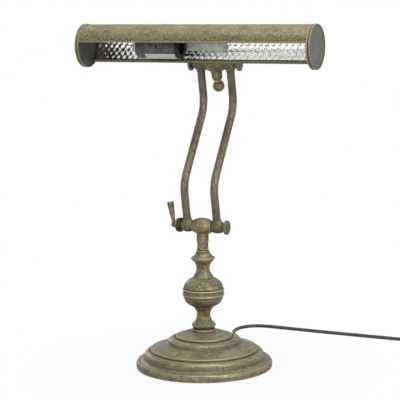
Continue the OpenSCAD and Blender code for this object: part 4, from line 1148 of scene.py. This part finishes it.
# %% The caps' finish
def cap_brass():
    material, place = start_finish("brass_caps")
    x, y, z = split(place)
    along = x.maths("ABSOLUTE", x)
    off_y, off_z = y - shade_y * MM, z - shade_z * MM
    radius = x.maths("SQRT", off_y * off_y + off_z * off_z)
    # where a cap's face and its inside are, in metres from the shade's middle and from its axis; the inside
    # gets painted shade
    face = along.between(0.1482, 0.1488) * (1 - radius.between(0.0245, 0.0252))
    inner = (1 - along.between(0.1467, 0.1470)) * (1 - radius.between(0.0252, 0.0256))
    clouds = noise(place, 60, 4)
    stains = noise(place, 260, 5, 0.7)
    grain = noise(place, 560, 3, 0.75)
    wear_and_shade = attribute(place, "wear_and_shade")
    tone = clouds.between(0.36, 0.62).tinted(colour(112, 106, 86), colour(140, 132, 106))
    tone = (0.7 * stains.between(0.48, 0.66)).tinted(tone, colour(152, 142, 108))
    grey = clouds.between(0.3, 0.7).tinted(colour(104, 106, 98), colour(122, 124, 115))
    tone = face.tinted(tone, grey)
    # painted shade: the inside of each cap is a darker grey, for the shade inside the trough
    tone = inner.tinted(tone, colour(94, 93, 86))
    tone = (0.5 * (1 - 0.7 * face) * grain.between(0.52, 0.7)).tinted(tone, colour(44, 41, 34))
    rubbed = wear_and_shade.between(0.0, 0.9) * (0.2 + 0.9 * grain)
    tone = rubbed.tinted(tone, colour(172, 165, 134))
    # inner corners turn nearly black: partly dark patina, partly painted shade
    tone = (0.9 * (0 - wear_and_shade).between(0.05, 0.7)).tinted(tone, colour(34, 31, 25))
    gloss = 0.44 + 0.2 * (grain - 0.5) - 0.1 * rubbed
    return end_finish(material, base_color=tone, metallic=0.2, roughness=gloss, specular_ior_level=0.3,
                      normal=bump(grain + 2 * stains, 0.00012, 0.4), specular_tint=(0.15, 0.13, 0.1, 1))


# %% Turned caps
skirt_r, cap_r, cap_bead = shell_r + 0.15, shell_r + 0.75, 0.7
cap_line = ([(0, shell_end), (skirt_r, shell_end), (skirt_r, skirt_end)]
            + from_point(cap_r, skirt_end, (-0.3, 0), (-0.05, 0.3), (-0.05, 1.6), (-0.3, 1.9),
                         (-1.0, 2.1), (-1.0, 2.7), (-0.2, 3.0))
            + arc((cap_r - cap_bead, shade_half - cap_bead), cap_bead, cap_bead, -10, 140, 12)
            + from_point(cap_r, shade_half, (-1.7, -0.65), (-2.6, -0.7)) + [(0, shade_half - 0.6)])
caps = cap_brass()
for side_name, way in (("left", -90), ("right", 90)):
    cap = lathe(cap_line, shade_place @ turned(way, "Y"), steps=128)
    settle(cap, f"{side_name}_cap", "shade", [f"{side_name}_end_cap"], caps)

# %% [markdown]
# ## The hammered reflector
#
# The inside of the shade is lined with bright tinned sheet, pressed all over with rows of small
# round bosses. A bump texture would look right from far away, but its outline would stay smooth
# and the reflections would not break up as they do here. So the bosses are real: a fine grid is
# raised into domes, each vertex by its nearest boss in a staggered and slightly uneven pattern,
# then rolled up round the shade's axis and given its thickness. Under the bracket that carries
# the lampholder the bosses are pressed flatter.

# %% Bosses on a grid, rolled up
lining_r, lining_half = 24.35, skirt_end - 1
lining_start, lining_stop = rear_edge + 5, front_edge - 5
boss_pitch, row_pitch, boss_h, boss_reach = 8.0, 5.0, 1.1, 4.7
flat_from, flat_to, flat_half, flat_share = -88, 28, 14, 0.4
lining_width = math.radians(lining_stop - lining_start) * lining_r
rows, across_count = math.ceil(lining_width / row_pitch) + 2, math.ceil(2 * lining_half / boss_pitch) + 2
chance = random.Random(11)
bosses = [[((i + 0.5 * (row % 2)) * boss_pitch - lining_half + chance.uniform(-0.45, 0.45),
            (row - 0.5) * row_pitch + chance.uniform(-0.3, 0.3))
           for i in range(across_count)] for row in range(rows)]


def off_boss(x, s):
    """How far a place along and round the shade is from the nearest boss: 0 on it, 1 at its foot."""
    nearest = boss_reach ** 2
    first = int(s / row_pitch + 0.5)
    for row in range(max(first - 1, 0), min(first + 2, rows)):
        column = int((x + lining_half) / boss_pitch - 0.5 * (row % 2) + 0.5)
        for bx, bs in bosses[row][max(column - 1, 0):column + 2]:
            nearest = min(nearest, (0.86 * (x - bx)) ** 2 + (s - bs) ** 2)
    return nearest / boss_reach ** 2


deselect()
bpy.ops.mesh.primitive_grid_add(x_subdivisions=396, y_subdivisions=122, size=1)
lining = bpy.context.object
feet = []
for vertex in lining.data.vertices:
    x, s = vertex.co.x * 2 * lining_half, (vertex.co.y + 0.5) * lining_width
    angle = lining_start + math.degrees(s / lining_r)
    feet.append(off_boss(x, s))
    under_bracket = flat_from < x < flat_to and abs(angle - 90) < flat_half
    height = boss_h * (1 - feet[-1]) * (flat_share if under_bracket else 1)
    y, z = on_shade(angle, lining_r - height)
    vertex.co = (x * MM, y * MM, z * MM)
store(lining, "foot", feet)
apply_modifier(lining, "SOLIDIFY", thickness=0.12 * MM, offset=1)
lining.matrix_world = shade_place


# %% Tinned sheet
def tinned_sheet():
    """Bright tinned steel: nearly a mirror, with a slight haze and fine marks; grey is painted where the
    bosses meet, as painted reflection of the shade's dark inside.
    """
    material, place = start_finish("tinned_sheet")
    haze = noise(place, 90, 4)
    marks = noise(place, 1500, 2)
    foot = attribute(place, "foot")
    tone = haze.between(0.35, 0.7).tinted(colour(244, 244, 242), colour(254, 254, 252))
    # painted reflection: grey round the foot of each boss, for the dark inside seen in its steep slopes
    tone = (0.75 * foot.between(0.34, 0.56)).tinted(tone, colour(122, 123, 121))
    gloss = 0.05 + 0.1 * haze.between(0.4, 0.75) + 0.05 * marks
    relief = bump(marks, 0.00003, 0.3)
    return end_finish(material, base_color=tone, metallic=1.0, roughness=gloss, normal=relief)


settle(lining, "hammered_lining", "shade", ["reflector"], tinned_sheet(), angle=60, aged=False)
print("bosses:", rows * across_count, "height", boss_h, "mm")

# %% [markdown]
# ## Neck and rosette behind the shade
#
# A bent tube carries the shade: it rises from the upper hub, turns forward, and ends in a small
# turned rosette that fits the shell's curve. The rosette is cut to that curve with a cylinder as
# large as the shell, so that it sits on the metal without a gap.

# %% Bent neck and rosette
elbow_r, elbow_bend_r, neck_rise, neck_reach = 5, 12, 23.2, 24.8
lean = math.radians(hub_lean)
corner = neck_rise / math.cos(lean)
elbow_run = elbow_bend_r * math.tan(math.radians((90 - hub_lean) / 2))
ahead = neck_reach - corner * math.sin(lean) - elbow_run
neck_start = (0, cross_y - hub_socket * math.sin(lean), cross_z + hub_socket * math.cos(lean))
neck_route = bent_route(neck_start, hub_lean,
                        [corner - elbow_run - hub_socket, (90 - hub_lean, elbow_bend_r), ahead - 1])
bent_neck = to_mesh(bar(neck_route, elbow_r))
back_place = shade_place @ turned(-90, "X")
nipple = lathe([(0, 18.8), (2.1, 18.8), (2.5, 19.2), (2.5, shell_r + 2), (0, shell_r + 2)],
               back_place, steps=32)
bent_neck = join([bent_neck, nipple])
settle(bent_neck, "bent_neck", "shade", ["shade_elbow"], brass_dark)
rosette_line = (from_point(0, shell_r, (2.55, -4), (11, -4)) + arc((8, shell_r + 0.6), 3, 2, 0, 80, 10)
                + from_point(0, shell_r, (7.2, 2.7), (6.6, 3.0), (5.9, 3.9), (5.2, 4), (2.55, 4)))
rosette = lathe(rosette_line, back_place, steps=72, longest=1)
saddle = rod(shell_r + 0.05, 30, shade_place @ along_x, 240, longest=60)
rosette = combine(rosette, saddle, "DIFFERENCE")
settle(rosette, "saddle_rosette", "shade", ["elbow_flange"], brass_dark)

# %% [markdown]
# ## Wiring cover and its screws
#
# A folded box of grey zinc-plated sheet covers the wires where they come in. It is a block
# without its back, with bevelled folds and a sheet's thickness, and a notch for the strip that
# it sits over. Two slotted screws hold it; the slot is cut with a thin block.

# %% Zinc and the cover
zinc_steel = bright_metal("zinc_steel", colour(196, 198, 190), colour(216, 218, 210), 0.55, metal=0.25)
cover_len, cover_h, cover_front, cover_back, strip_front, strip_w = 52, 10.6, 17.56, 23.15, 21.86, 8.6
cover_depth = cover_back - cover_front
cover = block((cover_len, cover_depth, cover_h), (0, cover_front + cover_depth / 2, 0))
choose(cover, "FACE", lambda middle, way: way.y > 0.9)
bpy.ops.mesh.delete(type="FACE")
choose(cover, "EDGE", lambda middle, way: middle.y < cover_back - 0.1)
bpy.ops.mesh.bevel(offset=0.7 * MM, segments=4)
close_up()
apply_modifier(cover, "SOLIDIFY", thickness=0.8 * MM, offset=-1)
notch = block((cover_len, 10, strip_w + 0.3), (-cover_len / 2, strip_front - 0.2 + 5, 0))
cover = combine(cover, notch, "DIFFERENCE")
cover.matrix_world = shade_place
settle(cover, "folded_cover", "shade", ["wiring_cover"], zinc_steel)

# %% Slotted screws
screw_x, screw_r = 21, 1.2
screw_line = [(0, -2.4), (1.0, -2.4), (screw_r, -2.2), (screw_r, 0), (2.3, 0), (2.35, 0.25)]
screw_line += arc((0, 0.2), 2.3, 0.75, 5, 85, 8) + [(0, 0.95)]
screw = lathe(screw_line, steps=40, longest=0.6)
slot_cut = block((6, 0.5, 1), (0, 0, 1.0))
screw = combine(screw, slot_cut, "DIFFERENCE")
screws = [copy_of(screw, shade_place @ at(x, cover_front - 0.05, 0) @ turned(90, "X") @ turned(spin, "Z"))
          for x, spin in ((-screw_x, 25), (screw_x, -40))]
bpy.data.objects.remove(screw)
settle(join(screws), "cover_screw_heads", "shade", ["cover_screws"], zinc_steel)

# %% [markdown]
# ## The lampholder
#
# The lampholder is a black plastic sleeve with a narrow front ring. Inside are a black core, a
# screw shell and the centre contact; the screw shell is coloured dark brass, as painted shade deep
# in the holder. The screw shell is a rolled thread: a wave is drawn once and a Screw modifier
# winds it up, because a stack of rings would not be a thread. A blank paper label is stuck to
# the sleeve from below.

# %% Sleeve and front ring
holder_place = at(0, shade_y, shade_z - 2.2) @ along_x
holder_r, ring_r, thread_r = 12.8, 13.6, 6.95
holder_back, core_back, core_floor, ring_back, sleeve_front, mouth = -76, -48.2, -44.2, -24, -22.9, -20
sleeve_line = (from_point(0, holder_back, (3.1, -7), (4.2, -7), (4.5, -6.7), (4.5, 0))
               + arc((holder_r - 1.5, holder_back + 1.5), 1.5, 1.5, -90, 0, 6)
               + [(holder_r, sleeve_front), (holder_r - 1.5, sleeve_front),
                  (holder_r - 1.5, holder_back + 3), (3.1, holder_back + 3)])
sleeve = lathe(sleeve_line, holder_place, steps=96, longest=4)
hole_place = at(-48, shade_y - holder_r, shade_z - 0.2) @ turned(90, "X")
sleeve = drill(sleeve, 1.6, hole_place, 5)
settle(sleeve, "holder_sleeve", "shade", ["lampholder_body"], holder_plastic)

ring_line = ([(holder_r + 0.1, ring_back), (ring_r - 0.3, ring_back), (ring_r, -23.6), (ring_r, -21)]
             + arc((ring_r - 1, -21), 1, 1, 0, 90, 6)
             + [(thread_r + 1.6, mouth), (thread_r + 1, mouth - 0.6), (thread_r + 1, -21.9), (11.2, -21.9),
                (11.2, -22.8), (holder_r + 0.1, -22.8)])
front_ring = lathe(ring_line, holder_place, steps=96)
settle(front_ring, "front_ring", "shade", ["lampholder_ring"], ring_plastic)

# %% Core, screw shell and contact
core_line = [(0, core_back), (10.9, core_back), (11.1, -48.0), (11.1, -22.3), (10.8, -22)]
core_line += from_point(thread_r, 0, (0.7, -22), (0.6, -42), (-1.4, -42), (-1.4, core_floor))
core_line += [(0, core_floor)]
core = lathe(core_line, holder_place, steps=64, longest=4)
settle(core, "holder_core", "shade", ["lampholder_core"], ring_plastic)

thread_pitch, thread_turns = 2.8, 6
wave = [(thread_r + 0.2 + 0.2 * math.cos(math.tau * i / 12), i / 12 * thread_pitch) for i in range(13)]
screw_shell = draw([(r * MM, 0, h * MM) for r, h in wave])
apply_modifier(screw_shell, "SCREW", axis="Z", angle=math.tau, screw_offset=thread_pitch * MM,
               iterations=thread_turns, steps=48, render_steps=48, use_merge_vertices=True,
               merge_threshold=2e-6)
apply_modifier(screw_shell, "SOLIDIFY", thickness=0.1 * MM, offset=0)
pick(screw_shell)
bpy.ops.object.mode_set(mode="EDIT")
close_up()
screw_shell.matrix_world = holder_place @ at(0, 0, -41.9)
# painted shade: the screw shell is coloured dark brass, for the shade deep inside the holder
thread_brass_painted_shade = bright_metal("thread_brass_painted_shade", colour(46, 41, 32), colour(70, 62, 46), 0.5, metal=0.4)
settle(screw_shell, "screw_shell", "shade", ["lampholder_thread"], thread_brass_painted_shade, angle=50)
contact_line = [(0, core_floor), (3.4, core_floor), (3.4, -43.7), (3.0, -43.5), (2.2, -43.3), (1.6, -42.7),
                (0.9, -42.45), (0, -42.4)]
contact = lathe(contact_line, holder_place, steps=40, longest=0.8)
settle(contact, "centre_contact", "shade", ["lampholder_contact"], polished_brass)


# %% Blank label
def plain_finish(name, dark, pale, rough, scale, depth):
    """Paper, felt or cast iron: two close tones and a texture of its own scale."""
    material, place = start_finish(name)
    clouds = noise(place, 0.12 * scale, 4)
    fine = noise(place, scale, 3)
    tone = (0.5 * clouds + 0.5 * fine).between(0.36, 0.64).tinted(dark, pale)
    return end_finish(material, base_color=tone, roughness=rough + 0.15 * (fine - 0.5),
                      normal=bump(fine, depth, 0.6))


paper_label = plain_finish("label_paper", colour(234, 237, 228), colour(250, 252, 245), 0.6, 1600, 0.00003)
label_r = (holder_r + 0.12) * MM
label = draw([(label_r, 0, (holder_back + 12.7) * MM), (label_r, 0, -24.2 * MM)])
bpy.ops.mesh.select_all(action="SELECT")
bpy.ops.mesh.spin(steps=24, angle=math.radians(-56), center=(0, 0, 0), axis=(0, 0, 1))
close_up()
apply_modifier(label, "SOLIDIFY", thickness=0.16 * MM, offset=0)
label.matrix_world = holder_place @ turned(-58, "Z")
settle(label, "blank_label", "shade", ["holder_label"], paper_label)

# %% [markdown]
# ## Pieces kept from the CAD model
#
# What is hidden, or plain and already right, stays as the CAD model made it and only gets a
# finish: the weight, the felt and the hardware in the base, the bracket and the nuts in the
# shade, and the switch's shaft.

# %% Finishes for the kept pieces
felt = plain_finish("green_felt", colour(30, 44, 33), colour(48, 64, 50), 0.95, 1400, 0.0003)
iron = plain_finish("cast_iron", colour(44, 44, 46), colour(70, 70, 72), 0.7, 500, 0.0003)
kept = {"felt_pad": felt, "base_weight": iron}
kept |= {name: zinc_steel for name in ("column_rod", "rod_washer", "rod_nut", "elbow_nut", "holder_bracket",
                                       "lampholder_nut", "switch_stem")}
for name, finish in kept.items():
    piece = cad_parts[name]
    piece.data.materials.clear()
    piece.data.materials.append(finish)
print("kept CAD pieces:", sorted(kept))
